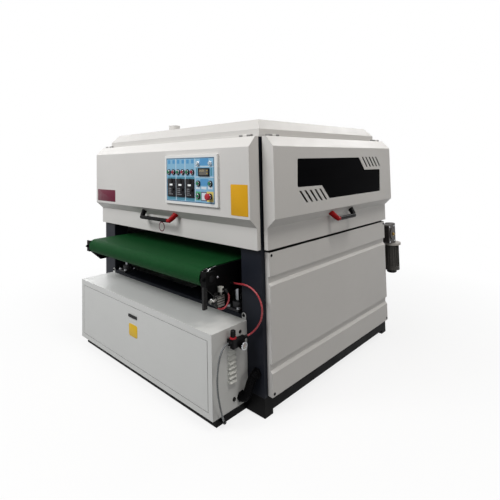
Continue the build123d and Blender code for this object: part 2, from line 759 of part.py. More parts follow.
def window_line(lap):
    """Window outline about the middle of the cover, widened by a lap."""
    centre_u = sum(d for d, z in WINDOW) / len(WINDOW)
    centre_z = sum(z for d, z in WINDOW) / len(WINDOW)
    points = []
    for d, z in WINDOW:
        du = math.copysign(lap, d - centre_u)
        dz = math.copysign(lap, z - centre_z)
        points.append((d + du - HOOD_DEPTH / 2, z + dz))
    return points


def make_right_cover():
    """Right cover with the window opening and the vent slots."""
    cover = make_cover(SIDE_LENGTH)
    opening = prism_y(window_line(0), -1, SHEET + 1)
    cover -= fillet(opening.edges().filter_by(Axis.Y), WINDOW_ROUND)
    for first in (SLOT_LOW, SLOT_HIGH):
        for slot in vent_slots(first):
            cover -= slot
    return cover


def make_left_cover():
    """Left cover with the vent slots only."""
    cover = make_cover(SIDE_LENGTH)
    for first in (SLOT_LOW, SLOT_HIGH):
        for slot in vent_slots(first):
            cover -= slot
    return cover


def make_handle(length, red_side):
    """Bar on two arms square to the lower bevel; the arm on red_side is a piece of its own."""
    run = math.hypot(SKIRT_RECESS, FACE_LOW_Z - BEVEL_LOW_Z)
    out_y = -(FACE_LOW_Z - BEVEL_LOW_Z) / run
    out_z = -SKIRT_RECESS / run
    root_y = SKIRT_RECESS / 2
    root_z = (FACE_LOW_Z + BEVEL_LOW_Z) / 2
    bar_y = root_y + out_y * HANDLE_STAND
    bar_z = root_z + out_z * HANDLE_STAND
    half = length / 2
    split = red_side * (half - 1.5 * HANDLE_ARM_R)

    def arm(side):
        root = Vector(side * (half + HANDLE_ROOT_SPREAD), root_y, root_z)
        corner = Vector(side * half, bar_y, bar_z)
        reach = (corner - root) * (1 + ARM_SINK)
        return rod(corner - reach, reach, HANDLE_ARM_R, reach.length) + Pos(corner) * Sphere(HANDLE_ARM_R)

    def grip(u0, u1):
        low, high = sorted((u0, u1))
        return rod_x(low, high, bar_y, bar_z, HANDLE_R)

    bevel = Plane(origin=(0, root_y, root_z), x_dir=(1, 0, 0), z_dir=(0, out_y, out_z))
    behind = bevel * Pos(0, 0, -HANDLE_STAND) * Box(2 * length, 4 * HANDLE_STAND, 2 * HANDLE_STAND)
    dark = arm(-red_side) + grip(-red_side * half, split) - behind
    red = arm(red_side) + grip(split, red_side * half) - behind
    return dark, red


# Control box


def make_control_box():
    """Frame standing on the cover, stepped inside to seat the face plate."""
    frame = block(BOX_LEFT, BOX_LEFT + BOX_WIDTH, FACE_Y, 0, BOX_LOW_Z, BOX_LOW_Z + BOX_HEIGHT)
    seat = block(FACE_LEFT, FACE_LEFT + FACE_WIDTH, FACE_Y - 1, FACE_Y + FACE_PLATE,
                 FACE_LOW, FACE_LOW + FACE_HEIGHT)
    hole = block(FACE_LEFT + FACE_LEDGE, FACE_LEFT + FACE_WIDTH - FACE_LEDGE, FACE_Y - 1, 1,
                 FACE_LOW + FACE_LEDGE, FACE_LOW + FACE_HEIGHT - FACE_LEDGE)
    return frame - seat - hole


def on_face(spot):
    """(x, z) of a place on the face plate."""
    across, up = spot
    return FACE_LEFT + across, FACE_LOW + up


def button_points():
    """(x, z) of the push buttons, the emergency stop last."""
    row = [(across, ROW_UP) for across in ROW_ACROSS]
    return [on_face(spot) for spot in (*row, *TABLE_BUTTON_SPOTS, START_SPOT, STOP_SPOT)]


def lamp_points():
    """(x, z) of the pilot lamps."""
    return [on_face(spot) for spot in LAMP_SPOTS]


def instrument(spot, size, lap, y0, y1):
    """Block behind or before the face plate at an inverter or the meter."""
    x, z = on_face(spot)
    wide, tall = size
    return block(x - wide / 2 + lap, x + wide / 2 - lap, y0, y1, z - tall / 2 + lap, z + tall / 2 - lap)


def instrument_cases(lap, inverter_ys, meter_ys):
    """Blocks of the three inverters and the meter between the given Y values."""
    spots = [(across, INVERTER_UP) for across in INVERTER_ACROSS]
    cases = [instrument(spot, INVERTER_SIZE, lap, *inverter_ys) for spot in spots]
    return cases + [instrument(METER_SPOT, METER_SIZE, lap, *meter_ys)]


def make_face_plate():
    """Face plate with its cut-outs."""
    y1 = FACE_Y + FACE_PLATE
    plate = block(FACE_LEFT, FACE_LEFT + FACE_WIDTH, FACE_Y, y1, FACE_LOW, FACE_LOW + FACE_HEIGHT)
    for x, z in button_points() + lamp_points():
        plate -= rod_y(FACE_Y - 1, y1 + 1, x, z, BARREL_R + RUN_FIT)
    through = (FACE_Y - 1, y1 + 1)
    for cut in instrument_cases(INSTRUMENT_LAP - RUN_FIT, through, through):
        plate -= cut
    return plate


def make_collar(x, z):
    """Bezel and barrel of a push button, bored for the cap."""
    collar = rod_y(COLLAR_Y, FACE_Y, x, z, COLLAR_R) + rod_y(FACE_Y, 0, x, z, BARREL_R)
    return collar - rod_y(COLLAR_Y - 1, -BUTTON_SEAT, x, z, BUTTON_R + RUN_FIT)


def make_lamp(x, z):
    """Pilot lamp."""
    lamp = rod_y(COLLAR_Y, FACE_Y, x, z, COLLAR_R) + rod_y(FACE_Y, 0, x, z, BARREL_R)
    lens = rod_y(COLLAR_Y - LAMP_PROUD, COLLAR_Y, x, z, BARREL_R)
    return lamp + fillet(lens.edges().group_by(Axis.Y)[0], LAMP_ROUND)


def make_instruments():
    """Inverters, panel meter, lamps and button bezels on the face plate."""
    pieces = [make_collar(x, z) for x, z in button_points()]
    pieces += [make_lamp(x, z) for x, z in lamp_points()]
    bezels = instrument_cases(0, (FACE_Y - INVERTER_PROUD, FACE_Y), (FACE_Y - METER_PROUD, FACE_Y))
    cases = instrument_cases(INSTRUMENT_LAP, (FACE_Y, INVERTER_BACK), (FACE_Y, METER_BACK))
    return pieces + [bezel + case for bezel, case in zip(bezels, cases)]


def make_button(x, z):
    """Push button cap."""
    back = -BUTTON_SEAT - BUTTON_CLEAR - BUTTON_TRAVEL
    cap = rod_y(COLLAR_Y - BUTTON_PROUD, back, x, z, BUTTON_R)
    return chamfer(cap.edges().group_by(Axis.Y)[0], BUTTON_EDGE)


def make_stop_button(x, z):
    """Domed mushroom head on its stem."""
    head_y = COLLAR_Y - BUTTON_TRAVEL - STOP_CLEAR
    stem = rod_y(head_y, -BUTTON_SEAT - BUTTON_CLEAR - BUTTON_TRAVEL, x, z, BUTTON_R)
    head = rod_y(head_y - STOP_HEAD, head_y, x, z, STOP_HEAD_R)
    return stem + fillet(head.edges().group_by(Axis.Y)[0], STOP_ROUND)


# Electric cabinet


def make_cabinet():
    """Cabinet box with door opening, louvres, cable entry, lugs and door pivots."""
    y0 = at_depth(-CABINET_PROUD)
    y1 = at_depth(COLUMN_FRONT_INSET)
    t = CABINET_SHEET
    box = block(-CABINET_HALF, CABINET_HALF, y0, y1, CABINET_LOW_Z, CABINET_TOP_Z)
    box -= block(-CABINET_HALF + t, CABINET_HALF - t, y0 + t, y1 - t, CABINET_LOW_Z + t, CABINET_TOP_Z - t)
    half = DOOR_HALF + DOOR_GAP
    box -= block(-half, half, y0 - 1, y0 + t + 1, DOOR_LOW_Z - DOOR_GAP, DOOR_TOP_Z + DOOR_GAP)
    for side in SIDES:
        for i in range(LOUVRE_COUNT):
            hood, slot = louvre(side, LOUVRE_LOW_Z + i * LOUVRE_PITCH)
            box += hood
            box -= slot
        lug_x, lug_z = lug_point(side)
        lug = block(lug_x - LUG_R, lug_x + LUG_R, y1 - t, y1, CABINET_TOP_Z - t, lug_z)
        lug += rod_y(y1 - t, y1, lug_x, lug_z, LUG_R)
        box += lug - rod_y(y1 - t - 1, y1 + 1, lug_x, lug_z, LUG_HOLE_R)
        tab, tab_size = PIVOT_TAB
        p0, p1 = sorted((side * half, side * (half + tab)))
        pivot = block(p0, p1, y0 + t, y0 + t + tab_size, DOOR_LOW_Z - DOOR_GAP,
                      DOOR_LOW_Z - DOOR_GAP + tab_size)
        box += pivot - rod_x(p0 - 1, p1 + 1, *door_axis(), DOOR_PIN_R + RUN_FIT)
    box -= rod_x(CABINET_HALF - t - 1, CABINET_HALF + 1, at_depth(CONDUIT_DEPTH), CONDUIT_LOW_Z,
                 conduit_bore())
    hole_depth, hole_z = CABLE_HOLE_SPOT
    return box - rod_x(CABINET_HALF - t - 1, CABINET_HALF + 1, at_depth(hole_depth), hole_z, CABLE_HOLE_R)


def louvre(side, z):
    """Louvre hood pressed out of the cabinet side, and the slot under it."""
    x = side * CABINET_HALF
    y = at_depth(LOUVRE_DEPTH_FROM_FRONT)
    tight = LOUVRE_WIDTH - 2 * LOUVRE_END
    root = Plane.YZ.offset(x) * Pos(y, z + LOUVRE_RISE / 2) * Rectangle(LOUVRE_WIDTH, LOUVRE_RISE)
    lip = Plane.YZ.offset(x + side * LOUVRE_PROUD) * Pos(y, z + LOUVRE_LIP / 2) * Rectangle(tight, LOUVRE_LIP)
    x0, x1 = sorted((x - side * (CABINET_SHEET + 1), x + side * (LOUVRE_PROUD - LOUVRE_LIP)))
    slot = block(x0, x1, y - tight / 2, y + tight / 2, z - LOUVRE_SLOT / 2, z + LOUVRE_SLOT / 2)
    return loft([root, lip]), slot


def lug_point(side):
    """(x, z) of the bolt through a cabinet lug."""
    return side * (COLUMN_IN + LUG_X_FROM_COLUMN), CABINET_TOP_Z + LUG_HEIGHT - LUG_R


def door_axis():
    """(y, z) of the door's pivots at its lower edge."""
    return at_depth(-CABINET_PROUD) + DOOR_PIVOT, DOOR_LOW_Z + DOOR_PIVOT


def make_door():
    """Door pan with stub pins at the lower corners and a notch for the latch."""
    y0 = at_depth(-CABINET_PROUD)
    half = DOOR_HALF
    t = CABINET_SHEET
    door = block(-half, half, y0, y0 + DOOR_RETURN, DOOR_LOW_Z, DOOR_TOP_Z)
    door -= block(-half + t, half - t, y0 + t, y0 + DOOR_RETURN + 1, DOOR_LOW_Z + t, DOOR_TOP_Z - t)
    for side in SIDES:
        x0, x1 = sorted((side * (half - t), side * (half + DOOR_GAP + PIVOT_TAB[0])))
        door += rod_x(x0, x1, *door_axis(), DOOR_PIN_R)
    sweep_room = math.sqrt(LATCH_CAM**2 - (LATCH_DROP - t)**2) + LATCH_CAM_WIDTH
    door -= block(LATCH_X - LATCH_CAM_WIDTH, LATCH_X + sweep_room, y0 + t, y0 + DOOR_RETURN + 1,
                  DOOR_TOP_Z - 2 * t, DOOR_TOP_Z + 1)
    return door - rod_y(y0 - 1, y0 + t + 1, LATCH_X, LATCH_Z, LATCH_SHAFT_R + RUN_FIT)


def make_latch():
    """Latch: outside bar, shaft through the door, and a cam that swings up behind the cabinet's edge."""
    y0 = at_depth(-CABINET_PROUD)
    wide, proud, tall = LATCH_SIZE
    near, far = LATCH_CAM_BACK
    half = LATCH_CAM_WIDTH / 2
    bar = block(LATCH_X - wide / 2, LATCH_X + wide / 2, y0 - proud, y0 - LATCH_GAP,
                LATCH_Z - tall / 2, LATCH_Z + tall / 2)
    bar += rod_y(y0 - LATCH_GAP, y0 + far, LATCH_X, LATCH_Z, LATCH_SHAFT_R)
    return bar + block(LATCH_X - half, LATCH_X + LATCH_CAM, y0 + near, y0 + far, LATCH_Z - half,
                       LATCH_Z + half)


def make_switchgear():
    """Mounting plate on stand-offs, cable ducts, contactors, transformer, drive and terminals."""
    back = COLUMN_FRONT_INSET - CABINET_SHEET
    plate_d = back - GEAR_STANDOFF
    front = plate_d - GEAR_PLATE
    half = DOOR_HALF - GEAR_SIDE
    low = DOOR_LOW_Z + GEAR_END
    top = DOOR_TOP_Z - GEAR_END
    pieces = [deep_block(-half, half, front, plate_d, low, top)]
    for side in SIDES:
        for z in (low + GEAR_SIDE, top - GEAR_SIDE):
            x = side * (half - GEAR_SIDE)
            pieces.append(rod_y(at_depth(plate_d), at_depth(back), x, z, GEAR_STANDOFF_R))

    def device(x0, width, height, depth):
        middle = (low + top) / 2
        return deep_block(x0, x0 + width, front - depth, front, middle - height / 2, middle + height / 2)

    for z in (low + DUCT_HEIGHT / 2, top - 1.5 * DUCT_HEIGHT):
        pieces.append(deep_block(-half + GEAR_SIDE, half - GEAR_SIDE, front - DUCT_DEPTH, front, z,
                                 z + DUCT_HEIGHT))
    x = -half + GEAR_SIDE
    for size in (BREAKER, *[CONTACTOR] * CONTACTOR_COUNT, TRANSFORMER, TERMINALS):
        pieces.append(device(x, *size))
        x += size[0] + GEAR_GAP
    return pieces


# Feed table


def make_table_frame():
    """Two side plates tied under the belt, with the bed plate between the belt runs."""
    top = BELT_TOP_Z - BELT_THICK
    nose = IDLER_REACH + NOSE
    tail = DRIVE_DEPTH + TAIL
    half = TAKE_UP_HEIGHT / 2
    outline = [(NOSE + TAIL - nose, top), (-nose, ROLLER_Z + NOSE / 2), (-nose, ROLLER_Z - half),
               (2 * TAIL - nose, TABLE_LOW_Z), (HOOD_DEPTH + TAIL, TABLE_LOW_Z),
               (tail, ROLLER_Z - half), (tail, ROLLER_Z + NOSE / 2), (tail - TAIL, top)]
    outline = [(at_depth(d), z) for d, z in outline]
    room = ROLLER_SHAFT_R + SHAFT_ROOM
    slot = deep_block(-HALF_WIDTH, HALF_WIDTH, -nose - 1, IDLER_DEPTH + 2 * room, ROLLER_Z - room,
                      ROLLER_Z + room)
    drive_hole = rod_x(-HALF_WIDTH, HALF_WIDTH, at_depth(DRIVE_DEPTH), ROLLER_Z, room)
    frame = None
    for side in SIDES:
        x0, x1 = sorted((side * PLATE_IN, side * PLATE_OUT))
        plate = prism_x(outline, x0, x1) - slot - drive_hole
        frame = plate if frame is None else frame + plate
    for depth in (LIFT_DEPTH, HOOD_DEPTH - LIFT_DEPTH):
        frame += deep_block(-PLATE_IN, PLATE_IN, depth - TIE_WIDTH / 2, depth + TIE_WIDTH / 2,
                            TIE_LOW_Z, TIE_LOW_Z + TIE_HEIGHT)
    inner = DRIVE_DEPTH - GEARBOX_INNER
    reach = deep_block(PLATE_OUT, GEARBOX_X0 + GEARBOX_CASE_INSET, inner - TORQUE_ARM, inner,
                       ROLLER_Z - TORQUE_ARM, ROLLER_Z + TORQUE_ARM)
    room = ROLLER_R + BED_GAP
    bed = deep_block(-PLATE_IN, PLATE_IN, IDLER_DEPTH + room, DRIVE_DEPTH - room, top - BED_THICK, top)
    return frame + reach, bed


def belt_loop(radius, x0, x1):
    """Solid stadium around both rollers."""
    y0 = at_depth(IDLER_DEPTH)
    y1 = at_depth(DRIVE_DEPTH)
    loop = block(x0, x1, y0, y1, ROLLER_Z - radius, ROLLER_Z + radius)
    loop += rod_x(x0, x1, y0, ROLLER_Z, radius)
    return loop + rod_x(x0, x1, y1, ROLLER_Z, radius)


def make_feed_belt():
    """Endless feed belt."""
    outer = belt_loop(ROLLER_R + BELT_THICK, -BELT_HALF, BELT_HALF)
    inner = belt_loop(ROLLER_R + RUN_FIT, -BELT_HALF - 1, BELT_HALF + 1)
    return outer - inner


def make_roller(depth, x0, x1):
    """Tube roller with its shaft, hollow between drilled end discs."""
    y = at_depth(depth)
    half = BELT_HALF - ROLLER_END_GAP
    inner_r = ROLLER_R - ROLLER_WALL
    roller = rod_x(-half, half, y, ROLLER_Z, ROLLER_R)
    roller -= rod_x(-half - 1, half + 1, y, ROLLER_Z, inner_r)
    for x in (-half + ROLLER_DISC_INSET, half - ROLLER_DISC_INSET - ROLLER_DISC):
        disc = rod_x(x, x + ROLLER_DISC, y, ROLLER_Z, inner_r)
        roller += disc - rod_x(x - 1, x + ROLLER_DISC + 1, y, ROLLER_Z + DISC_HOLE_AT, DISC_HOLE_R)
    return roller + rod_x(x0, x1, y, ROLLER_Z, ROLLER_SHAFT_R)


def make_take_ups():
    """Bearing blocks of both rollers; tension screws and end plates at the idler."""
    wide, deep, tall = TAKE_UP_BLOCK
    nose = IDLER_REACH + NOSE
    pieces = []
    for side in SIDES:
        x0, x1 = sorted((side * PLATE_OUT, side * (PLATE_OUT + wide)))
        for depth in (IDLER_DEPTH, DRIVE_DEPTH):
            bearing = deep_block(x0, x1, depth - deep / 2, depth + deep / 2,
                                 ROLLER_Z - tall / 2, ROLLER_Z + tall / 2)
            bearing -= rod_x(x0 - 1, x1 + 1, at_depth(depth), ROLLER_Z, ROLLER_SHAFT_R + RUN_FIT)
            pieces.append(bearing)
        e0, e1 = sorted((side * PLATE_IN, side * (PLATE_OUT + wide + END_PLATE_LAP)))
        end = deep_block(e0, e1, -nose - END_PLATE, -nose, ROLLER_Z - TAKE_UP_HEIGHT / 2,
                         ROLLER_Z + TAKE_UP_HEIGHT / 2)
        x = side * (PLATE_OUT + wide / 2)
        end -= rod_y(at_depth(-nose - END_PLATE - 1), at_depth(-nose + 1), x, ROLLER_Z,
                     TENSION_SCREW_R + SEAT_FIT)
        pieces.append(end)
        screw = rod_y(at_depth(-TENSION_SCREW_TIP), at_depth(IDLER_DEPTH - deep / 2), x, ROLLER_Z,
                      TENSION_SCREW_R)
        pieces.append(screw + hex_head((x, at_depth(-nose - END_PLATE), ROLLER_Z), (0, -1, 0), *TENSION_NUT))
    return pieces


def make_lift_rods():
    """Four chromed lift rods hanging from the table ties."""
    return [rod_z(LIFT_ROD_LOW_Z, TIE_LOW_Z, x, y, LIFT_ROD_R) for x, y in lift_points()]


def make_lift_units():
    """Flanged guide bushings on the lift beams and closed nut housings under them."""
    pieces = []
    top = LIFT_BEAM_TOP_Z
    low = top - COLUMN_WALL
    for x, y in lift_points():
        flange = block(x - LIFT_FLANGE / 2, x + LIFT_FLANGE / 2, y - LIFT_FLANGE / 2, y + LIFT_FLANGE / 2,
                       top, top + LIFT_FLANGE_THICK)
        flange += rod_z(top, top + BUSH_HEIGHT, x, y, BUSH_R)
        bore = rod_z(0, top + BUSH_HEIGHT + 1, x, y, LIFT_ROD_R + RUN_FIT)
        pieces.append(flange - bore)
        section = Pos(x, y, low - NUT_HOUSING_HEIGHT) * RectangleRounded(NUT_HOUSING, NUT_HOUSING,
                                                                         NUT_HOUSING_ROUND)
        pieces.append(extrude(section, NUT_HOUSING_HEIGHT) - bore)
    return pieces


def lift_bolt_points():
    """Bolts at the corners of the bushing flanges."""
    z = LIFT_BEAM_TOP_Z + LIFT_FLANGE_THICK
    spread = LIFT_BOLT_SPREAD
    return [(x + spread * i, y + spread * j, z) for x, y in lift_points() for i in SIDES for j in SIDES]


def make_gearbox():
    """Worm gearbox on the drive shaft, hub faces left and right, worm housing upright."""
    y = at_depth(DRIVE_DEPTH)
    h = GEARBOX_HALF_HEIGHT
    x0 = GEARBOX_X0 + GEARBOX_CASE_INSET
    x1 = GEARBOX_OUT - GEARBOX_CASE_INSET
    inner = DRIVE_DEPTH - GEARBOX_INNER
    long = GEARBOX_INNER + WORM_OFFSET
    face = RectangleRounded(long, 2 * h - GEARBOX_CASE_INSET, GEARBOX_ROUND)
    case = extrude(Plane.YZ.offset(x0) * Pos(at_depth(inner + long / 2), ROLLER_Z) * face, x1 - x0)
    case += rod_z(ROLLER_Z - h, ROLLER_Z + h, WORM_X, at_depth(WORM_DEPTH), WORM_HOUSING_R)
    case += rod_x(GEARBOX_X0, GEARBOX_OUT, y, ROLLER_Z, HUB_R)
    return case - rod_x(GEARBOX_X0 - 1, GEARBOX_OUT + 1, y, ROLLER_Z, ROLLER_SHAFT_R + RUN_FIT)


def finned(start, direction, tip_r, deep, count, length):
    """Motor casing with cooling fins along its axis."""
    root_r = tip_r - deep
    section = Circle(root_r)
    fin = Pos(root_r, 0) * Rectangle(2 * deep, FIN_THICK)
    for i in range(count):
        section += Rot(0, 0, i * 360 / count) * fin
    return extrude(Plane(origin=start, z_dir=direction) * section, length)


def make_feed_motor():
    """Flange motor hanging under the gearbox: finned casing, end shield, fan cap, terminal box."""
    top = ROLLER_Z - GEARBOX_HALF_HEIGHT
    y = at_depth(WORM_DEPTH)
    low = top - MOTOR_FLANGE - FEED_MOTOR_LENGTH
    shield_z = low + FEED_CAP
    fins_z = shield_z + FEED_SHIELD
    motor = rod_z(top - MOTOR_FLANGE, top, WORM_X, y, MOTOR_FLANGE_R)
    motor += finned((WORM_X, y, fins_z), (0, 0, 1), FEED_MOTOR_R, FEED_FIN_DEEP, FEED_FIN_COUNT,
                    top - MOTOR_FLANGE - fins_z)
    motor += rod_z(shield_z, fins_z, WORM_X, y, FEED_MOTOR_R)
    cap = rod_z(low, shield_z, WORM_X, y, FEED_CAP_R)
    motor += fillet(cap.edges().group_by(Axis.Z)[0], FEED_CAP_ROUND)
    wide, deep, tall = TERMINAL_BOX
    x1 = WORM_X - FEED_MOTOR_R + TERMINAL_SINK
    box = block(x1 - wide, x1, y - deep / 2, y + deep / 2, fins_z + FEED_SHIELD, fins_z + FEED_SHIELD + tall)
    return motor + fillet(box.edges().group_by(Axis.X)[0], TERMINAL_ROUND)


def table_port(spot, reach):
    """Tube fitting standing out of the right side plate, and the middle of its mouth."""
    depth, z = spot
    mouth = Vector(PLATE_OUT + reach, at_depth(depth), z)
    return rod_x(PLATE_OUT, PLATE_OUT + reach, mouth.Y, z, PORT_R), mouth


LOOP_WAY = Vector(0, 0.6, -0.8)


def loop_mouth(spot):
    """Mouth of an elbow fitting of the air loop, facing back and down."""
    depth, z = spot
    return Vector(LOOP_X, at_depth(depth), z) + LOOP_WAY * ELBOW_LENGTH


def loop_elbow(spot, x0):
    """Elbow fitting from the tracking unit out to the plane of the air loop."""
    depth, z = spot
    corner = Vector(LOOP_X, at_depth(depth), z)
    elbow = rod_x(x0, LOOP_X, corner.Y, z, ELBOW_R) + Pos(corner) * Sphere(ELBOW_KNEE_R)
    return elbow + rod(corner, LOOP_WAY, ELBOW_R, ELBOW_LENGTH)


def make_tracking_unit():
    """Belt tracking cylinder on its carrier, rod end, valve, tube fittings and sensor bracket."""
    x0 = PLATE_OUT
    x1 = x0 + CARRIER_THICK
    x2 = x1 + CYLINDER_WIDTH
    carrier = deep_block(x0, x1, *CARRIER_DEPTHS, *CARRIER_HEIGHTS)
    body = deep_block(x1, x2, *CYLINDER_DEPTHS, *CYLINDER_HEIGHTS)
    low, top = CYLINDER_HEIGHTS
    near, far = CYLINDER_DEPTHS
    for i in range(CYLINDER_GROOVES):
        z = low + CYLINDER_GROOVE_PITCH * (i + 0.8)
        body -= deep_block(x2 - CYLINDER_GROOVE_DEEP, x2 + 1, near - 1, far + 1, z, z + CYLINDER_GROOVE)
    x = x1 + CYLINDER_WIDTH / 2
    cap_y = at_depth(CAP_DEPTH)
    stem = rod_z(top, top + STEM_LENGTH, x, cap_y, STEM_R)
    cap = rod_z(top + STEM_LENGTH, top + STEM_LENGTH + CAP_LENGTH, x, cap_y, CAP_R)
    front = at_depth(near)
    nut_y = front - VALVE_NUT_AT
    valve = rod_y(front - VALVE_LENGTH, front, x, VALVE_Z, VALVE_R)
    valve += rod_y(nut_y - VALVE_NUT_LENGTH, nut_y, x, VALVE_Z, VALVE_NUT_R) + loop_elbow(LOOP_FOOT, x)
    loop_head = loop_elbow(LOOP_HEAD, x) - cap
    long_port, _ = table_port(LONG_TUBE_HEAD, PORT_LENGTH)
    bracket_top = ROLLER_Z - TAKE_UP_HEIGHT / 2
    nose = -IDLER_REACH - NOSE
    bracket = deep_block(x0, x0 + SENSOR_PLATE, nose - END_PLATE, nose - END_PLATE + SENSOR_WIDTH,
                         bracket_top - SENSOR_DROP, bracket_top)
    return [carrier, body, stem, cap, valve, loop_head, long_port, bracket]


# Brush rollers


def make_brush_drum(depth):
    """Welded drum and shaft, with the drive pulley on its right end."""
    y = at_depth(depth)
    half = WORKING_WIDTH / 2
    inner_r = DRUM_R - DRUM_WALL
    drum = rod_x(-half, half, y, BRUSH_Z, DRUM_R)
    drum -= rod_x(-half - 1, half + 1, y, BRUSH_Z, inner_r)
    for x in (-half + WEB_INSET, half - WEB_INSET - WEB):
        web = rod_x(x, x + WEB, y, BRUSH_Z, inner_r)
        for i in range(WEB_HOLES):
            turn = math.radians(90 + i * 360 / WEB_HOLES)
            web -= rod_x(x - 1, x + WEB + 1, y + WEB_HOLE_AT * math.cos(turn),
                         BRUSH_Z + WEB_HOLE_AT * math.sin(turn), WEB_HOLE_R)
        drum += web
    drum += rod_x(-RAIL_OUT + WEB_INSET, PULLEY_X1 + SHAFT_TAIL, y, BRUSH_Z, BRUSH_SHAFT_R)
    return drum, make_pulley(y, BRUSH_Z, BRUSH_SHAFT_R + SEAT_FIT)


def make_pulley(y, z, bore):
    """Belt pulley with one square groove."""
    groove_x0 = (PULLEY_X0 + PULLEY_X1 - DRIVE_BELT_WIDTH) / 2 - RUN_FIT
    groove_x1 = groove_x0 + DRIVE_BELT_WIDTH + 2 * RUN_FIT
    floor = PULLEY_R - DRIVE_BELT_THICK - GROOVE_UNDER
    pulley = rod_x(PULLEY_X0, groove_x0, y, z, PULLEY_R) + rod_x(groove_x0, groove_x1, y, z, floor)
    pulley += rod_x(groove_x1, PULLEY_X1, y, z, PULLEY_R)
    return pulley - rod_x(PULLEY_X0 - 1, PULLEY_X1 + 1, y, z, bore) if bore else pulley


def make_strips(depth):
    """Radial brush strips around a drum."""
    y = at_depth(depth)
    half = WORKING_WIDTH / 2 - STRIP_INSET
    strip = block(-half, half, -STRIP_THICK / 2, STRIP_THICK / 2, DRUM_R, BRUSH_R)
    turn = 360 / STRIP_COUNT
    return [Pos(0, y, BRUSH_Z) * Rot(i * turn, 0, 0) * strip for i in range(STRIP_COUNT)]


def make_drive_belt(depth):
    """Belt around the brush pulley and the motor pulley."""
    y = at_depth(depth)
    x0 = (PULLEY_X0 + PULLEY_X1 - DRIVE_BELT_WIDTH) / 2
    x1 = x0 + DRIVE_BELT_WIDTH
    inner_r = PULLEY_R - DRIVE_BELT_THICK - GROOVE_UNDER + RUN_FIT

    def loop(radius, low, high):
        solid = block(low, high, y - radius, y + radius, BRUSH_Z, BRUSH_MOTOR_Z)
        solid += rod_x(low, high, y, BRUSH_Z, radius)
        return solid + rod_x(low, high, y, BRUSH_MOTOR_Z, radius)

    return loop(inner_r + DRIVE_BELT_THICK, x0, x1) - loop(inner_r, x0 - 1, x1 + 1)


def make_brush_motor(depth):
    """Foot motor on the shelf: finned casing between end shields, fan cowl, feet, terminal box."""
    y = at_depth(depth)
    x1 = RAIL_OUT - MOTOR_RAIL_GAP
    x0 = x1 - BRUSH_MOTOR_LENGTH
    fins_x = x0 + BRUSH_COWL
    z = BRUSH_MOTOR_Z
    motor = finned((fins_x, y, z), (1, 0, 0), BRUSH_MOTOR_R, BRUSH_FIN_DEEP, BRUSH_FIN_COUNT, x1 - fins_x)
    motor += rod_x(x1 - BRUSH_SHIELD, x1, y, z, BRUSH_MOTOR_R)
    cowl = rod_x(x0, fins_x, y, z, BRUSH_MOTOR_R)
    motor += fillet(cowl.edges().group_by(Axis.X)[0], BRUSH_COWL_ROUND)
    foot, wide, thick = MOTOR_FOOT
    for foot_x in (fins_x, x1 - BRUSH_SHIELD - foot):
        motor += block(foot_x, foot_x + foot, y - wide / 2, y + wide / 2, SHELF_Z, SHELF_Z + thick)
        motor += block(foot_x, foot_x + foot, y - BRUSH_MOTOR_R / 2, y + BRUSH_MOTOR_R / 2, SHELF_Z, z)
    long, across, proud = MOTOR_BOX
    box = block(fins_x + foot, fins_x + foot + long, y - across / 2, y + across / 2, z,
                z + BRUSH_MOTOR_R + proud)
    motor += fillet(box.edges().group_by(Axis.Z)[-1], TERMINAL_ROUND)
    return motor - rod_x(x1 - MOTOR_NOSE - 1, x1 + 1, y, z, MOTOR_SHAFT_R + RUN_FIT)


def make_motor_pulley(depth):
    """Motor shaft end with its pulley."""
    y = at_depth(depth)
    nose_x = RAIL_OUT - MOTOR_RAIL_GAP - MOTOR_NOSE
    shaft = rod_x(nose_x, PULLEY_X1 + SHAFT_TAIL, y, BRUSH_MOTOR_Z, MOTOR_SHAFT_R)
    return make_pulley(y, BRUSH_MOTOR_Z, 0) + shaft


def make_bearings():
    """Pillow blocks of the brush rollers and hanger plates of the hold-down rollers."""
    pieces = []
    foot, thick = PILLOW_FOOT
    for side in SIDES:
        middle = side * (COLUMN_IN + RAIL_WIDTH / 2)
        x0 = middle - BEARING_WIDTH / 2
        x1 = middle + BEARING_WIDTH / 2
        for depth in BRUSH_DEPTHS:
            y = at_depth(depth)
            pillow = block(x0, x1, y - foot / 2, y + foot / 2, RAIL_TOP_Z, RAIL_TOP_Z + thick)
            shoulders = [(y - PILLOW_SHOULDER, RAIL_TOP_Z), (y + PILLOW_SHOULDER, RAIL_TOP_Z),
                         (y + PILLOW_R, BRUSH_Z), (y - PILLOW_R, BRUSH_Z)]
            pillow += prism_x(shoulders, x0 + PILLOW_SIDE, x1 - PILLOW_SIDE)
            pillow += rod_x(x0 + PILLOW_SIDE, x1 - PILLOW_SIDE, y, BRUSH_Z, PILLOW_R)
            pieces.append(pillow - rod_x(x0, x1, y, BRUSH_Z, BRUSH_SHAFT_R + RUN_FIT))
        p0, p1 = sorted((side * (COLUMN_IN - BRACKET_PLATE), side * COLUMN_IN))
        for depth in HOLD_DOWN_DEPTHS:
            y = at_depth(depth)
            hanger = block(p0, p1, y - HANGER_WIDTH / 2, y + HANGER_WIDTH / 2, HOLD_DOWN_Z - HANGER_DROP,
                           RAIL_TOP_Z)
            pieces.append(hanger - rod_x(p0 - 1, p1 + 1, y, HOLD_DOWN_Z, HOLD_DOWN_SHAFT_R + RUN_FIT))
    return pieces


def make_hold_down(depth):
    """Hold-down roller with its shaft ends."""
    y = at_depth(depth)
    reach = COLUMN_IN - HOLD_DOWN_END_GAP
    roller = rod_x(-WORKING_WIDTH / 2, WORKING_WIDTH / 2, y, HOLD_DOWN_Z, HOLD_DOWN_R)
    return roller + rod_x(-reach, reach, y, HOLD_DOWN_Z, HOLD_DOWN_SHAFT_R)


# Air and cable


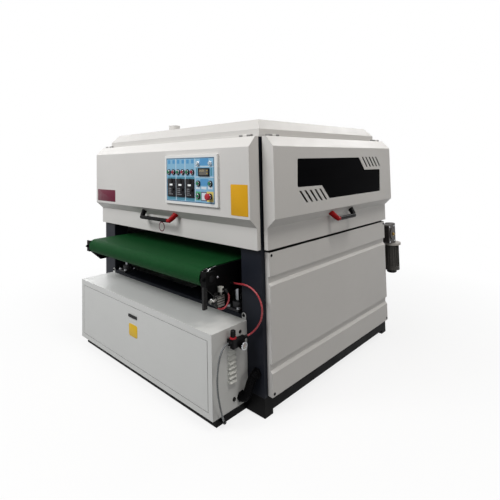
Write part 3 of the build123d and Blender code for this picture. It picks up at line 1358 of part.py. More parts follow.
def regulator_axis():
    """(x, y) of the regulator's upright axis."""
    return CABINET_HALF + REGULATOR_OFF + REGULATOR_SIZE[0] / 2, at_depth(REGULATOR_DEPTH)


def make_regulator():
    """Regulator on its bracket, outlet block, pressure gauge and tube fittings."""
    wide, deep, tall = REGULATOR_SIZE
    x, y = regulator_axis()
    z0 = REGULATOR_LOW_Z
    z1 = z0 + tall
    body = block(x - wide / 2, x + wide / 2, y - deep / 2, y + deep / 2, z0, z1)
    body = chamfer(body.edges().filter_by(Axis.Z), REGULATOR_EDGE)
    body -= rod_z(z1 - KNOB_STEM - 1, z1 + 1, x, y, KNOB_STEM_R + RUN_FIT)
    arm_wide, arm_tall = REGULATOR_ARM
    bracket = block(CABINET_HALF, x - wide / 2, y - arm_wide / 2, y + arm_wide / 2,
                    (z0 + z1 - arm_tall) / 2, (z0 + z1 + arm_tall) / 2)
    side = y + deep / 2
    outlet = block(x - wide / 2, x - wide / 2 + OUTLET_WIDTH, side, side + OUTLET_LENGTH,
                   z0 - FITTING_R / 2, z1 - FITTING_R)
    gauge = rod_x(x - wide / 2 + OUTLET_WIDTH, x - wide / 2 + OUTLET_WIDTH + GAUGE_THICK,
                  side + GAUGE_BACK, z0, GAUGE_R)
    mouth = outlet_port()
    elbow = rod(mouth - OUTLET_WAY * FITTING_LENGTH, OUTLET_WAY, FITTING_R, FITTING_LENGTH)
    elbow -= outlet
    inlet = rod(inlet_port(), (0, 1, 0), FITTING_R, FITTING_LENGTH)
    corner = supply_corner()
    union = rod_x(CABINET_HALF - PLINTH_SIDE_INSET, corner.X, corner.Y, corner.Z, FITTING_R)
    union += Pos(corner) * Sphere(FITTING_KNEE_R) + rod(corner, SUPPLY_WAY, FITTING_R, FITTING_LENGTH)
    return [body, bracket, outlet, gauge, elbow, inlet, union]


OUTLET_WAY = Vector(1, 1, 0.6).normalized()
SUPPLY_WAY = Vector(0.38, -0.59, 0.71).normalized()


def outlet_port():
    """Mouth of the outlet fitting, facing out, back and up."""
    x, y = regulator_axis()
    wide, deep, tall = REGULATOR_SIZE
    root = Vector(x - wide / 2 + OUTLET_WIDTH / 2, y + deep / 2 + OUTLET_LENGTH - FITTING_R / 2,
                  REGULATOR_LOW_Z + tall - 2.5 * FITTING_R)
    return root + OUTLET_WAY * 1.2 * FITTING_LENGTH


def inlet_port():
    """Mouth of the inlet fitting, facing the front."""
    x, y = regulator_axis()
    wide, deep, tall = REGULATOR_SIZE
    return Vector(x, y - deep / 2 - FITTING_LENGTH, REGULATOR_LOW_Z + tall - 1.5 * FITTING_R)


def supply_corner():
    """Corner of the bulkhead elbow low on the plinth's right wall."""
    depth, z = SUPPLY_END
    return Vector(CABINET_HALF - PLINTH_SIDE_INSET + SUPPLY_STAND, at_depth(depth), z)


def make_knob():
    """Regulator knob with the locking ring under it."""
    x, y = regulator_axis()
    z = REGULATOR_LOW_Z + REGULATOR_SIZE[2]
    seat = z + KNOB_SEAT_GAP
    ring_top = seat + KNOB_RING
    knob = rod_z(z - KNOB_STEM, seat, x, y, KNOB_STEM_R) + rod_z(seat, ring_top, x, y, KNOB_R + KNOB_RING_LAP)
    grip = rod_z(ring_top, z + KNOB_HEIGHT, x, y, KNOB_R)
    return knob + chamfer(grip.edges().group_by(Axis.Z)[-1], KNOB_EDGE)


ARC_SHARE = 0.45
OUTWARD = Vector(1, 0, 0)
LOOP_TURN = math.radians(45)


def corner_radii(points, share):
    """Radius at each inner point: a share of its shorter run; an end run serves one bend and counts twice."""
    legs = [b - a for a, b in zip(points, points[1:])]
    room = [leg.length for leg in legs]
    room[0] *= 2
    room[-1] *= 2
    radii = []
    for i, (came, leaves) in enumerate(zip(legs, legs[1:])):
        half_turn = math.radians(came.get_angle(leaves)) / 2
        radii.append(share * min(room[i], room[i + 1]) / math.tan(half_turn))
    return radii


def tube_points(start, start_way, route, end, end_way):
    """Route between two fitting mouths, leaving each one square to its face."""
    laid = [Vector(x, at_depth(depth), z) for x, depth, z in route]
    return [start, start + start_way * TUBE_END_RUN, *laid, end + end_way * TUBE_END_RUN, end]


def make_tube(name, points, radius):
    """Round tube of straight runs and tangent arcs; prints its radii and how its volume compares."""
    radii = corner_radii(points, ARC_SHARE)
    path = FilletPolyline(*points, radius=radii)
    runs = [(b - a).length for a, b in zip(points, points[1:])]
    print(name, "runs", [round(run) for run in runs], "radii", [round(r) for r in radii])
    tube = sweep(Plane(origin=path @ 0, z_dir=path % 0) * Circle(radius), path=path)
    share = tube.volume / (math.pi * radius**2 * path.length)
    print(f"{name}: {path.length:.0f} long, least radius {min(radii):.0f}, volume share {share:.4f}")
    return tube


def long_tube_points():
    """Air tube from the regulator to the table, bowed out in front of the column."""
    head = table_port(LONG_TUBE_HEAD, PORT_LENGTH)[1]
    return tube_points(outlet_port(), OUTLET_WAY, LONG_TUBE_ROUTE, head, OUTWARD)


def short_loop_points():
    """Half-round air loop between the elbows on the valve and the rod end."""
    start = loop_mouth(LOOP_FOOT)
    end = loop_mouth(LOOP_HEAD)
    radius = (end - start).length / 2
    along = (end - start).normalized()
    lead = radius * math.tan(LOOP_TURN / 2)
    low = (start + end) * 0.5 + LOOP_WAY * radius
    down = LOOP_WAY * lead
    return [start, start + down, low - along * lead, low + along * lead, end + down, end]


def supply_points():
    """Air supply tube from the inlet down beside the cabinet into the plinth."""
    end = supply_corner() + SUPPLY_WAY * FITTING_LENGTH
    return tube_points(inlet_port(), Vector(0, -1, 0), SUPPLY_ROUTE, end, SUPPLY_WAY)


def conduit_path():
    """Middle line of the cable conduit, from its lower gland to its upper one."""
    x0 = CABINET_HALF + GLAND_LENGTH
    x1 = HALF_WIDTH - CONDUIT_X_INSET
    y0 = at_depth(CONDUIT_DEPTH)
    y1 = at_depth(COLUMN_FRONT_INSET) - GLAND_LENGTH
    corners = [Vector(x0, y0, CONDUIT_LOW_Z), Vector(x0 + CONDUIT_LEAD, y0, CONDUIT_LOW_Z),
               Vector(x1, y1 - CONDUIT_LEAD, CONDUIT_TOP_Z), Vector(x1, y1, CONDUIT_TOP_Z)]
    return FilletPolyline(*corners, radius=corner_radii(corners, CONDUIT_BEND))


def make_conduit():
    """Ribbed cable conduit with its bore, from the cabinet side up to the right column."""
    path = conduit_path()
    ribs = round(path.length / CONDUIT_RIB)
    groove_r = CONDUIT_R - CONDUIT_RIB_DEEP
    steady = Vector(1, -1, 0)
    rings = []
    for i in range(4 * ribs + 1):
        at = i / (4 * ribs)
        way = path % at
        plane = Plane(origin=path @ at, x_dir=steady - way * steady.dot(way), z_dir=way)
        radius = CONDUIT_R if i % 4 in (1, 2) else groove_r
        rings.append(plane * Circle(radius))
    hose = loft(rings, ruled=True)
    bore = sweep(Plane(origin=path @ 0, z_dir=path % 0) * Circle(conduit_bore()), path=path)
    return hose - bore


def conduit_bore():
    """Inner radius of the conduit and its glands."""
    return CONDUIT_R - CONDUIT_RIB_DEEP - CONDUIT_WALL


def make_glands():
    """Gland rings of the conduit and the small cable grommet."""
    x0 = CABINET_HALF
    y0 = at_depth(CONDUIT_DEPTH)
    y1 = at_depth(COLUMN_FRONT_INSET)
    x1 = HALF_WIDTH - CONDUIT_X_INSET
    inner = conduit_bore()
    low = rod_x(x0, x0 + GLAND_LENGTH, y0, CONDUIT_LOW_Z, GLAND_R)
    low -= rod_x(x0 - 1, x0 + GLAND_LENGTH + 1, y0, CONDUIT_LOW_Z, inner)
    high = rod_y(y1 - GLAND_LENGTH, y1, x1, CONDUIT_TOP_Z, GLAND_R)
    high -= rod_y(y1 - GLAND_LENGTH - 1, y1 + 1, x1, CONDUIT_TOP_Z, inner)
    depth, z = GROMMET_SPOT
    grommet = rod_x(x0, x0 + GROMMET_PROUD, at_depth(depth), z, GROMMET_R)
    return low, high, grommet


def main():
    os.makedirs("parts", exist_ok=True)
    save("base_frame", make_base())
    save("main_frame", make_main_frame())
    save("lid", make_lid())
    save("lower_panels", make_side_panel(-1), make_side_panel(1), make_rear_panel())

    heads = []
    for side in SIDES:
        heads += [hex_head(p, (side, 0, 0), *PANEL_HEAD) for p in panel_screw_points(side)]
        x, z = lug_point(side)
        heads.append(hex_head((x, at_depth(COLUMN_FRONT_INSET - CABINET_SHEET), z), (0, -1, 0), *PANEL_HEAD))
    heads += [hex_head(p, (0, 0, 1), *LIFT_HEAD) for p in lift_bolt_points()]
    save("fasteners", *heads)

    hinges = [AT_FRONT * h for h in make_hinges(FRONT_LENGTH, COLUMN_FRONT_INSET)]
    hinges += [AT_REAR * h for h in make_hinges(FRONT_LENGTH, COLUMN_FRONT_INSET)]
    hinges += [AT_RIGHT * h for h in make_hinges(SIDE_LENGTH, COLUMN_SIDE_INSET)]
    hinges += [AT_LEFT * h for h in make_hinges(SIDE_LENGTH, COLUMN_SIDE_INSET)]
    save("cover_hinges", *hinges)

    save("front_cover", AT_FRONT * make_front_cover())
    save("rear_cover", AT_REAR * make_cover(FRONT_LENGTH))
    save("right_cover", AT_RIGHT * make_right_cover())
    save("left_cover", AT_LEFT * make_left_cover())
    save("right_window", AT_RIGHT * prism_y(window_line(PANE_LAP), SHEET, SHEET + PANE_THICK))
    save("front_handle", *(AT_FRONT * h for h in make_handle(FRONT_HANDLE_LENGTH, 1)))
    save("right_handle", *(AT_RIGHT * h for h in make_handle(SIDE_HANDLE_LENGTH, -1)))
    save("left_handle", *(AT_LEFT * h for h in make_handle(SIDE_HANDLE_LENGTH, 1)))
    save("rear_handle", *(AT_REAR * h for h in make_handle(FRONT_HANDLE_LENGTH, -1)))

    save("control_box", AT_FRONT * make_control_box())
    save("control_face", AT_FRONT * make_face_plate())
    save("panel_instruments", *(AT_FRONT * p for p in make_instruments()))
    names = ("start_button_1", "stop_button_1", "start_button_2", "stop_button_2", "start_button_3",
             "stop_button_3", "table_up_button", "table_down_button", "power_button")
    for name, (x, z) in zip(names, button_points()):
        save(name, AT_FRONT * make_button(x, z))
    save("emergency_stop", AT_FRONT * make_stop_button(*on_face(STOP_SPOT)))

    save("cabinet_body", make_cabinet())
    save("cabinet_door", make_door())
    save("door_latch", make_latch())
    save("switchgear", *make_switchgear())

    frame, bed = make_table_frame()
    save("table_frame", frame, bed)
    save("feed_belt", make_feed_belt())
    shaft_end = PLATE_OUT + TAKE_UP_BLOCK[0] - SHAFT_END_GAP
    save("idler_roller", make_roller(IDLER_DEPTH, -shaft_end, shaft_end))
    save("drive_roller", make_roller(DRIVE_DEPTH, -shaft_end, GEARBOX_OUT - SHAFT_END_GAP))
    save("take_up_units", *make_take_ups())
    save("lift_rods", *make_lift_rods())
    save("lift_units", *make_lift_units())
    save("gearbox", make_gearbox())
    save("feed_motor", make_feed_motor())
    save("tracking_unit", *make_tracking_unit())
    save("short_air_loop", make_tube("short air loop", short_loop_points(), TUBE_R))

    for i, depth in enumerate(BRUSH_DEPTHS, start=1):
        drum, pulley = make_brush_drum(depth)
        save(f"brush_drum_{i}", drum, pulley)
        save(f"brush_strips_{i}", *make_strips(depth))
        save(f"motor_pulley_{i}", make_motor_pulley(depth))
    save("brush_motors", *(make_brush_motor(d) for d in BRUSH_DEPTHS))
    save("drive_belts", *(make_drive_belt(d) for d in BRUSH_DEPTHS))
    save("bearing_blocks", *make_bearings())
    for i, depth in enumerate(HOLD_DOWN_DEPTHS, start=1):
        save(f"hold_down_roller_{i}", make_hold_down(depth))

    save("air_regulator", *make_regulator())
    save("regulator_knob", make_knob())
    save("long_air_tube", make_tube("long air tube", long_tube_points(), TUBE_R))
    save("supply_tube", make_tube("supply tube", supply_points(), TUBE_R))
    save("cable_conduit", make_conduit(), *make_glands())


if __name__ == "__main__":
    main()
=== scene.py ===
"""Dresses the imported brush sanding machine: finishes, panel details, air lines, brushes and a plain studio."""
import logging
import math
from dataclasses import dataclass
from enum import Enum
from typing import Any, Iterable, Sequence

import bmesh
import bpy
from mathutils import Matrix, Vector


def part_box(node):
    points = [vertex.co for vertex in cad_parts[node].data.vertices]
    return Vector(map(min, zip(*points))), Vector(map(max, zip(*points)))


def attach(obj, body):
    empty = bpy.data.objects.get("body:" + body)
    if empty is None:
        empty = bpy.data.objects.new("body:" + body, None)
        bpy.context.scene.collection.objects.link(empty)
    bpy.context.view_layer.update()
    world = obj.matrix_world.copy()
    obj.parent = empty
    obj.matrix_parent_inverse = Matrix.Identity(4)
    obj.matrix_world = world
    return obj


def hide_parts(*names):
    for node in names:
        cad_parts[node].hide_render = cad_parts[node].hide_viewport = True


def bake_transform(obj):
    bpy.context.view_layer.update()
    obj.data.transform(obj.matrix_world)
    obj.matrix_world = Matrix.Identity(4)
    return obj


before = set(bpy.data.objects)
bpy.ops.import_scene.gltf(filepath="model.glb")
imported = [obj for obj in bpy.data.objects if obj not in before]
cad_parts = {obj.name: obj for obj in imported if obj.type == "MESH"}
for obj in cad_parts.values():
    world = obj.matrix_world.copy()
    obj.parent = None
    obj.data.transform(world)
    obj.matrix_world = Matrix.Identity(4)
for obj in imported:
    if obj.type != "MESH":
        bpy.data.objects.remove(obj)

LOG = logging.getLogger("brush_sander")
MM = 0.001
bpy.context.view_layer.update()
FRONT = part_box("front_cover")[0].y / MM

Pair = tuple[float, float]
Spot = tuple[float, float, float]
Colour = tuple[float, float, float]
Edges = tuple[float, float, float, float]
Profile = Sequence[Pair]
Socket = bpy.types.NodeSocket
Mesh = bpy.types.Mesh
Thing = bpy.types.Object

FORWARD: Spot = (0.0, -1.0, 0.0)
BACKWARD: Spot = (0.0, 1.0, 0.0)
RIGHT: Spot = (1.0, 0.0, 0.0)
UP: Spot = (0.0, 0.0, 1.0)
SIDES: Pair = (-1.0, 1.0)
WHITE: Colour = (1.0, 1.0, 1.0)
FRAME_BODY = "machine_frame"
TABLE_BODY = "table_body"
COVER_BODY = "front_cover_body"


def chip(red: int, green: int, blue: int) -> Colour:
    """Returns an 8-bit colour chip in the linear light that a shader takes."""
    shares = (value / 255 for value in (red, green, blue))
    return tuple(v / 12.92 if v <= 0.04045 else ((v + 0.055) / 1.055) ** 2.4 for v in shares)


def shaded(colour: Colour, share: float) -> Colour:
    """Returns the colour with every channel multiplied by one share."""
    return tuple(min(1.0, channel * share) for channel in colour)


def spot(x: float, depth: float, z: float) -> Vector:
    """Returns a point in millimetres from its depth behind the front cover's flat face."""
    return Vector((x, FRONT + depth, z))


def circle(steps: int) -> list[Pair]:
    """Returns the cosine and sine of even steps round a full turn."""
    angles = (2 * math.pi * i / steps for i in range(steps))
    return [(math.cos(angle), math.sin(angle)) for angle in angles]


def outward(points: Iterable[Vector]) -> list[Spot]:
    """Returns the level direction to the nearer side of the machine for each point."""
    return [(math.copysign(1.0, point.x), 0.0, 0.0) for point in points]


class Axis(Enum):
    """Direction along which a surface was rolled, drawn or brushed."""

    X = (0.04, 1.0, 1.0)
    Y = (1.0, 0.04, 1.0)
    Z = (1.0, 1.0, 0.04)


class NodeSheet:
    """A node tree, with short calls that add nodes and feed them."""

    def __init__(self, tree: bpy.types.NodeTree) -> None:
        """Takes a tree and empties it."""
        self.tree = tree
        tree.nodes.clear()

    def feed(self, socket: Socket, value: Any) -> None:
        """Feeds an input.

        Args:
            socket: The input.
            value: A socket or a list of sockets to link into it, or its own value.
        """
        if isinstance(value, Socket):
            self.tree.links.new(value, socket)
        elif isinstance(value, list):
            for source in value:
                self.tree.links.new(source, socket)
        elif socket.type == "RGBA" and len(value) == 3:
            socket.default_value = (*value, 1.0)
        else:
            socket.default_value = value

    def add(self, kind: str, feeds: dict[Any, Any], out: Any = 0, **settings: Any) -> Socket:
        """Adds a node.

        Args:
            kind: Blender's name of the node.
            feeds: What goes into its inputs, by name or number.
            out: Name or number of the output to return.
            settings: Properties of the node itself.

        Returns:
            The chosen output.
        """
        node = self.tree.nodes.new(kind)
        for key, value in settings.items():
            setattr(node, key, value)
        for key, value in feeds.items():
            self.feed(node.inputs[key], value)
        return node.outputs[out]

    def calc(self, operation: str, first: Any, second: Any = 0.0) -> Socket:
        """Returns a sum or another operation on two numbers."""
        return self.add("ShaderNodeMath", {0: first, 1: second}, operation=operation)

    def times(self, first: Any, second: Any) -> Socket:
        """Returns the product of two numbers."""
        return self.calc("MULTIPLY", first, second)

    def spread(self, value: Any, low: float, high: float, to_low: Any = 0.0, to_high: Any = 1.0) -> Socket:
        """Maps a range of a value onto another range, clamped."""
        return self.add("ShaderNodeMapRange", {0: value, 1: low, 2: high, 3: to_low, 4: to_high}, clamp=True)

    def looked_at(self) -> Socket:
        """Tells what is looked at from light that only falls on the machine.

        Returns:
            1 for what the camera, gloss and glass show, and 0 for the rest.
        """
        rays = self.add("ShaderNodeLightPath", {}).node.outputs
        mirrored = self.calc("MAXIMUM", rays["Is Glossy Ray"], rays["Is Transmission Ray"])
        return self.calc("MAXIMUM", rays["Is Camera Ray"], mirrored)


class Graph(NodeSheet):
    """Node tree of one finish, with short calls for the patterns that the finishes share."""

    split_blur = 0.0004

    def __init__(self, name: str) -> None:
        """Starts a material with its shader, its output and the object's own coordinates.

        Args:
            name: Name of the material.
        """
        self.material = bpy.data.materials.new(name)
        self.material.use_nodes = True
        super().__init__(self.material.node_tree)
        self.shader = self.tree.nodes.new("ShaderNodeBsdfPrincipled")
        self.output = self.tree.nodes.new("ShaderNodeOutputMaterial")
        self.feed(self.output.inputs["Surface"], self.shader.outputs["BSDF"])
        self.place = self.add("ShaderNodeTexCoord", {}, "Object")

    def surface(self, **values: Any) -> None:
        """Feeds the shader.

        Args:
            values: Values or sockets for its inputs, named in lower case with underscores.
        """
        names = {socket.name.lower().replace(" ", "_"): socket for socket in self.shader.inputs}
        for key, value in values.items():
            self.feed(names[key], value)

    def stretch(self, scale: Spot, turn: Spot = (0.0, 0.0, 0.0)) -> Socket:
        """Returns the object's coordinates, turned and scaled."""
        return self.add("ShaderNodeMapping", {"Vector": self.place, "Scale": scale, "Rotation": turn})

    def noise(self, scale: float, detail: float = 3.0, rough: float = 0.5, vector: Any = None) -> Socket:
        """Returns cloudy noise from 0 to 1 over the object's coordinates or the vector given."""
        feeds = {"Vector": vector or self.place, "Scale": scale, "Detail": detail, "Roughness": rough}
        return self.add("ShaderNodeTexNoise", feeds)

    def cloud(self, scale: float, detail: float = 3.0, low: float = 0.0, high: float = 1.0) -> Socket:
        """Returns soft clouds between two values."""
        return self.spread(self.noise(scale, detail), 0.3, 0.7, low, high)

    def marks(self, scale: float, detail: float, start: float, full: float, share: float = 1.0,
              rough: float = 0.5) -> Socket:
        """Returns marks on bare ground, from where the noise passes start to where it is full, up to a share."""
        return self.spread(self.noise(scale, detail, rough), start, full, 0.0, share)

    def cells(self, scale: float, out: str = "Distance", vector: Any = None) -> Socket:
        """Returns a cell pattern over the object's coordinates or the vector given."""
        return self.add("ShaderNodeTexVoronoi", {"Vector": vector or self.place, "Scale": scale}, out)

    def tint(self, share: Any, first: Any, second: Any) -> Socket:
        """Mixes two colours."""
        return self.add("ShaderNodeMix", {0: share, 6: first, 7: second}, 2, data_type="RGBA")

    def along(self, axis: str) -> Socket:
        """Returns one of the object's coordinates."""
        return self.add("ShaderNodeSeparateXYZ", {0: self.place}, axis)

    def past(self, axis: str, line: float, before: float = 0.0, after: float = 1.0) -> Socket:
        """Returns one value before a line across the object and another past it."""
        return self.spread(self.along(axis), line - self.split_blur, line + self.split_blur, before, after)

    def rounding(self, radius: float) -> Socket:
        """Returns the surface normal softened over sharp edges."""
        return self.add("ShaderNodeBevel", {"Radius": radius}, samples=4)

    def edges(self, rounded: Socket) -> Socket:
        """Finds the sharp edges.

        Args:
            rounded: A softened normal.

        Returns:
            1 on sharp edges and 0 on flats.
        """
        flat = self.add("ShaderNodeNewGeometry", {}, "Normal")
        agree = self.add("ShaderNodeVectorMath", {0: rounded, 1: flat}, "Value", operation="DOT_PRODUCT")
        return self.spread(agree, 0.99, 0.75)

    def bump(self, height: Any, strength: float, distance: float, normal: Any = None) -> Socket:
        """Gives the surface a relief.

        Args:
            height: The relief, from 0 to 1.
            strength: How far the relief tilts the surface, from 0 to 1.
            distance: Height of the relief in metres.
            normal: A softened normal to start from.

        Returns:
            The normal of the surface with this relief on it.
        """
        feeds = {"Height": height, "Strength": strength, "Distance": distance}
        if normal is not None:
            feeds["Normal"] = normal
        return self.add("ShaderNodeBump", feeds)

    def grain(self, scale: float, detail: float, strength: float, distance: float, normal: Any = None) -> Socket:
        """Returns the normal of a surface with a fine grain on it."""
        return self.bump(self.noise(scale, detail), strength, distance, normal)


@dataclass
class Finish(Graph):
    """A finish of the machine; its node tree is built when it is first used."""

    name: str
    colour: Colour

    def dress(self) -> None:
        """Builds the finish in its node tree."""
        raise NotImplementedError

    def shade(self, share: float) -> Colour:
        """Returns the finish's colour, darker or lighter by a share."""
        return shaded(self.colour, share)

    def made(self) -> bpy.types.Material:
        """Builds the finish if that isn't done yet.

        Returns:
            Its material.
        """
        if self.name not in bpy.data.materials:
            super().__init__(self.name)
            self.dress()
        return self.material


@dataclass
class Enamel(Finish):
    """Sprayed paint on steel: slight orange peel, dust patches, edges lighter from thin paint and painted highlight."""

    roughness: float = 0.42
    edge_radius: float = 0.0022
    edge_share: float = 1.12
    grime: float = 0.10
    peel: float = 0.06
    gloss: float = 0.35

    def dress(self) -> None:
        """Builds clouded paint with softened edges."""
        soft = self.rounding(self.edge_radius)
        worn = self.times(self.edges(soft), self.marks(scale=60, detail=4, start=0.35, full=0.65))
        dust = self.marks(scale=9.0, detail=6, start=0.55, full=0.8, share=self.grime, rough=0.65)
        base = self.tint(self.cloud(scale=2.2, detail=4), self.shade(0.965), self.colour)
        dusty = self.tint(dust, base, self.shade(0.72))
        # Sharp edges are lightened in patches: partly worn thin paint, partly a painted highlight.
        colour = self.tint(worn, dusty, self.shade(self.edge_share))
        rough = self.cloud(scale=14, detail=5, low=self.roughness - 0.05, high=self.roughness + 0.08)
        normal = self.grain(scale=520, detail=2, strength=self.peel, distance=0.0006, normal=soft)
        self.surface(base_color=colour, roughness=rough, normal=normal, specular_ior_level=self.gloss)


@dataclass
class FramePaint(Enamel):
    """Frame enamel that gives way to the covers' white where the top ring shows under the lid."""

    upper: Colour = (0.6, 0.6, 0.6)
    upper_from: float = 1.5215

    def dress(self) -> None:
        """Builds the enamel, then the white above the covers."""
        super().dress()
        socket = self.shader.inputs["Base Color"]
        enamel = socket.links[0].from_socket
        self.feed(socket, self.tint(self.past("Z", self.upper_from), enamel, self.upper))


@dataclass(frozen=True)
class Zone:
    """Box on a unit, in X, depth and height, whose member has a colour and gloss of its own."""

    low: Spot
    high: Spot
    colour: Colour
    metallic: float = 0.0
    roughness: float = 0.4


@dataclass
class ZonedSkin(Finish):
    """Skin of a unit that is put together from members of different make."""

    zones: tuple[Zone, ...]
    metallic: float = 0.0
    roughness: float = 0.4
    dust: float = 0.12
    dust_colour: Colour = (0.36, 0.35, 0.34)

    def dress(self) -> None:
        """Builds the members' colours zone by zone, then dust and rubbed edges over all of them."""
        soft = self.rounding(0.0008)
        sides = [self.along(axis) for axis in "XYZ"]
        colour, metal, rough = self.colour, self.metallic, self.roughness
        for zone in self.zones:
            inside = 1.0
            for side, low, high in zip(sides, spot(*zone.low), spot(*zone.high)):
                over = self.calc("GREATER_THAN", side, low * MM)
                under = self.calc("LESS_THAN", side, high * MM)
                inside = self.times(inside, self.times(over, under))
            colour = self.tint(inside, colour, zone.colour)
            metal = self.spread(inside, 0.0, 1.0, metal, zone.metallic)
            rough = self.spread(inside, 0.0, 1.0, rough, zone.roughness)
        dusty = self.marks(scale=90, detail=5, start=0.5, full=0.8, share=self.dust, rough=0.6)
        rubbed = self.times(self.edges(soft), 0.25)
        colour = self.tint(self.calc("MAXIMUM", dusty, rubbed), colour, self.dust_colour)
        uneven = self.cloud(scale=120, detail=4, low=-0.05, high=0.09)
        normal = self.grain(scale=700, detail=3, strength=0.08, distance=0.0004, normal=soft)
        self.surface(base_color=colour, metallic=metal, roughness=self.calc("ADD", rough, uneven),
                     specular_ior_level=0.2, normal=normal)


@dataclass
class HandlePaint(Finish):
    """Painted handle bar whose arm on one side of a place along it is of another colour."""

    arm_colour: Colour
    axis: str
    split: float
    arm_is_above: bool

    def dress(self) -> None:
        """Builds the two-coloured paint with worn edges."""
        arm = self.past(self.axis, self.split, float(not self.arm_is_above), float(self.arm_is_above))
        worn = self.marks(scale=70, detail=5, start=0.62, full=0.8, share=0.35, rough=0.6)
        plain = self.tint(arm, self.colour, self.arm_colour)
        rubbed = self.tint(arm, self.shade(2.4), shaded(self.arm_colour, 1.5))
        rough = self.cloud(scale=30, detail=4, low=0.2, high=0.28)
        normal = self.grain(scale=600, detail=3, strength=0.05, distance=0.0004)
        self.surface(base_color=self.tint(worn, plain, rubbed), roughness=rough, ior=1.25, specular_ior_level=0.2,
                     normal=normal)


@dataclass
class BareMetal(Finish):
    """Machined, plated or polished metal with fine lines along one direction."""

    roughness: float = 0.3
    axis: Axis = Axis.Z
    lines: float = 0.05
    stain: float = 0.25

    def dress(self) -> None:
        """Builds metal with drawn lines and faint stains."""
        lines = self.noise(scale=900, detail=2, vector=self.stretch(self.axis.value))
        stains = self.marks(scale=35, detail=6, start=0.5, full=0.75, share=self.stain, rough=0.6)
        colour = self.tint(stains, self.colour, self.shade(0.62))
        dull = self.calc("ADD", self.times(lines, 0.6), self.times(stains, 0.6))
        rough = self.spread(dull, 0.2, 0.8, self.roughness - 0.07, self.roughness + 0.14)
        normal = self.bump(lines, self.lines, 0.0003, self.rounding(0.0007))
        self.surface(base_color=colour, roughness=rough, metallic=1.0, normal=normal)


@dataclass
class CastMetal(Finish):
    """Sand-cast or blasted housing with a speckled skin."""

    roughness: float = 0.5
    speckle: float = 0.5
    metallic: float = 0.6
    speck_share: float = 2.1

    def dress(self) -> None:
        """Builds a pitted skin with lighter specks, and sharp edges lightened as a painted highlight."""
        soft = self.rounding(0.0015)
        specks = self.marks(scale=420, detail=4, start=0.52, full=0.66, share=self.speckle, rough=0.7)
        # Painted highlight: sharp edges are lightened like the specks.
        rubbed = self.calc("MAXIMUM", specks, self.times(self.edges(soft), 0.7))
        colour = self.tint(rubbed, self.colour, self.shade(self.speck_share))
        rough = self.cloud(scale=150, detail=4, low=self.roughness - 0.1, high=self.roughness + 0.15)
        normal = self.grain(scale=380, detail=3, strength=0.25, distance=0.0008, normal=soft)
        self.surface(base_color=colour, roughness=rough, metallic=self.metallic, normal=normal)


@dataclass
class Moulding(Finish):
    """Moulded plastic with a fine spark-eroded grain."""

    roughness: float = 0.38
    relief: float = 0.08
    gloss: float = 0.3

    def dress(self) -> None:
        """Builds grained plastic with rubbed edges."""
        soft = self.rounding(0.0006)
        base = self.tint(self.cloud(scale=45), self.shade(0.9), self.colour)
        colour = self.tint(self.times(self.edges(soft), 0.35), base, self.shade(1.5))
        rough = self.cloud(scale=90, detail=4, low=self.roughness - 0.06, high=self.roughness + 0.1)
        normal = self.grain(scale=1500, detail=2, strength=self.relief, distance=0.0004, normal=soft)
        self.surface(base_color=colour, roughness=rough, specular_ior_level=self.gloss, normal=normal)


@dataclass
class Rubber(Finish):
    """Dull rubber with dust caught on it."""

    roughness: float = 0.72
    dust: Colour = (0.20, 0.18, 0.15)
    dust_share: float = 0.18

    def dress(self) -> None:
        """Builds dull, slightly dusty rubber."""
        dusty = self.marks(scale=22, detail=6, start=0.5, full=0.8, share=self.dust_share, rough=0.65)
        rough = self.cloud(scale=60, detail=4, low=self.roughness - 0.1, high=self.roughness + 0.1)
        normal = self.grain(scale=700, detail=3, strength=0.2, distance=0.0005)
        self.surface(base_color=self.tint(dusty, self.colour, self.dust), roughness=rough, specular_ior_level=0.15,
                     normal=normal)


@dataclass
class RoughTopBelt(Finish):
    """Feed belt with a small knobbed top that grips boards."""

    pitch: float = 0.004

    def dress(self) -> None:
        """Builds the knobs, with paler tips where boards have rubbed them and painted shade between the knobs."""
        knobs = self.cells(1 / self.pitch)
        tips = self.spread(knobs, 0.5, 0.1)
        runs = self.noise(scale=3.0, detail=5, rough=0.6, vector=self.stretch((1.0, 0.25, 1.0)))
        rubbed = self.spread(runs, 0.4, 0.75, 0.0, 0.5)
        # Painted shade: the low ground between the knobs is darkened.
        flat = self.tint(tips, self.shade(0.55), self.colour)
        colour = self.tint(self.times(tips, rubbed), flat, self.shade(1.55))
        self.surface(base_color=colour, roughness=self.spread(knobs, 0.0, 0.6, 0.5, 0.75), specular_ior_level=0.1,
                     normal=self.bump(tips, 0.45, 0.0012))


@dataclass
class SmokedPane(Finish):
    """Dark glossy window with faint wipe marks."""

    def dress(self) -> None:
        """Builds a near-black pane whose gloss changes with the wiping."""
        sweep = self.stretch((1.0, 0.3, 1.0), (0.5, 0.0, 0.0))
        wipes = self.noise(scale=7, detail=5, rough=0.6, vector=sweep)
        colour = self.tint(self.spread(wipes, 0.4, 0.8), self.colour, self.shade(1.8))
        normal = self.grain(scale=4, detail=2, strength=0.02, distance=0.001)
        self.surface(base_color=colour, roughness=self.spread(wipes, 0.35, 0.75, 0.04, 0.16), ior=1.12,
                     specular_ior_level=0.06, normal=normal)


@dataclass
class AirTube(Finish):
    """Plastic air tube that lets some light through."""

    through: float = 0.2
    roughness: float = 0.25

    def dress(self) -> None:
        """Builds a tube wall with a cloudy body and fine draw lines."""
        colour = self.tint(self.cloud(scale=28, detail=4), self.shade(0.85), self.colour)
        rough = self.cloud(scale=160, low=self.roughness - 0.06, high=self.roughness + 0.1)
        normal = self.grain(scale=240, detail=2, strength=0.05, distance=0.0004)
        self.surface(base_color=colour, roughness=rough, transmission_weight=self.through, ior=1.45, normal=normal)


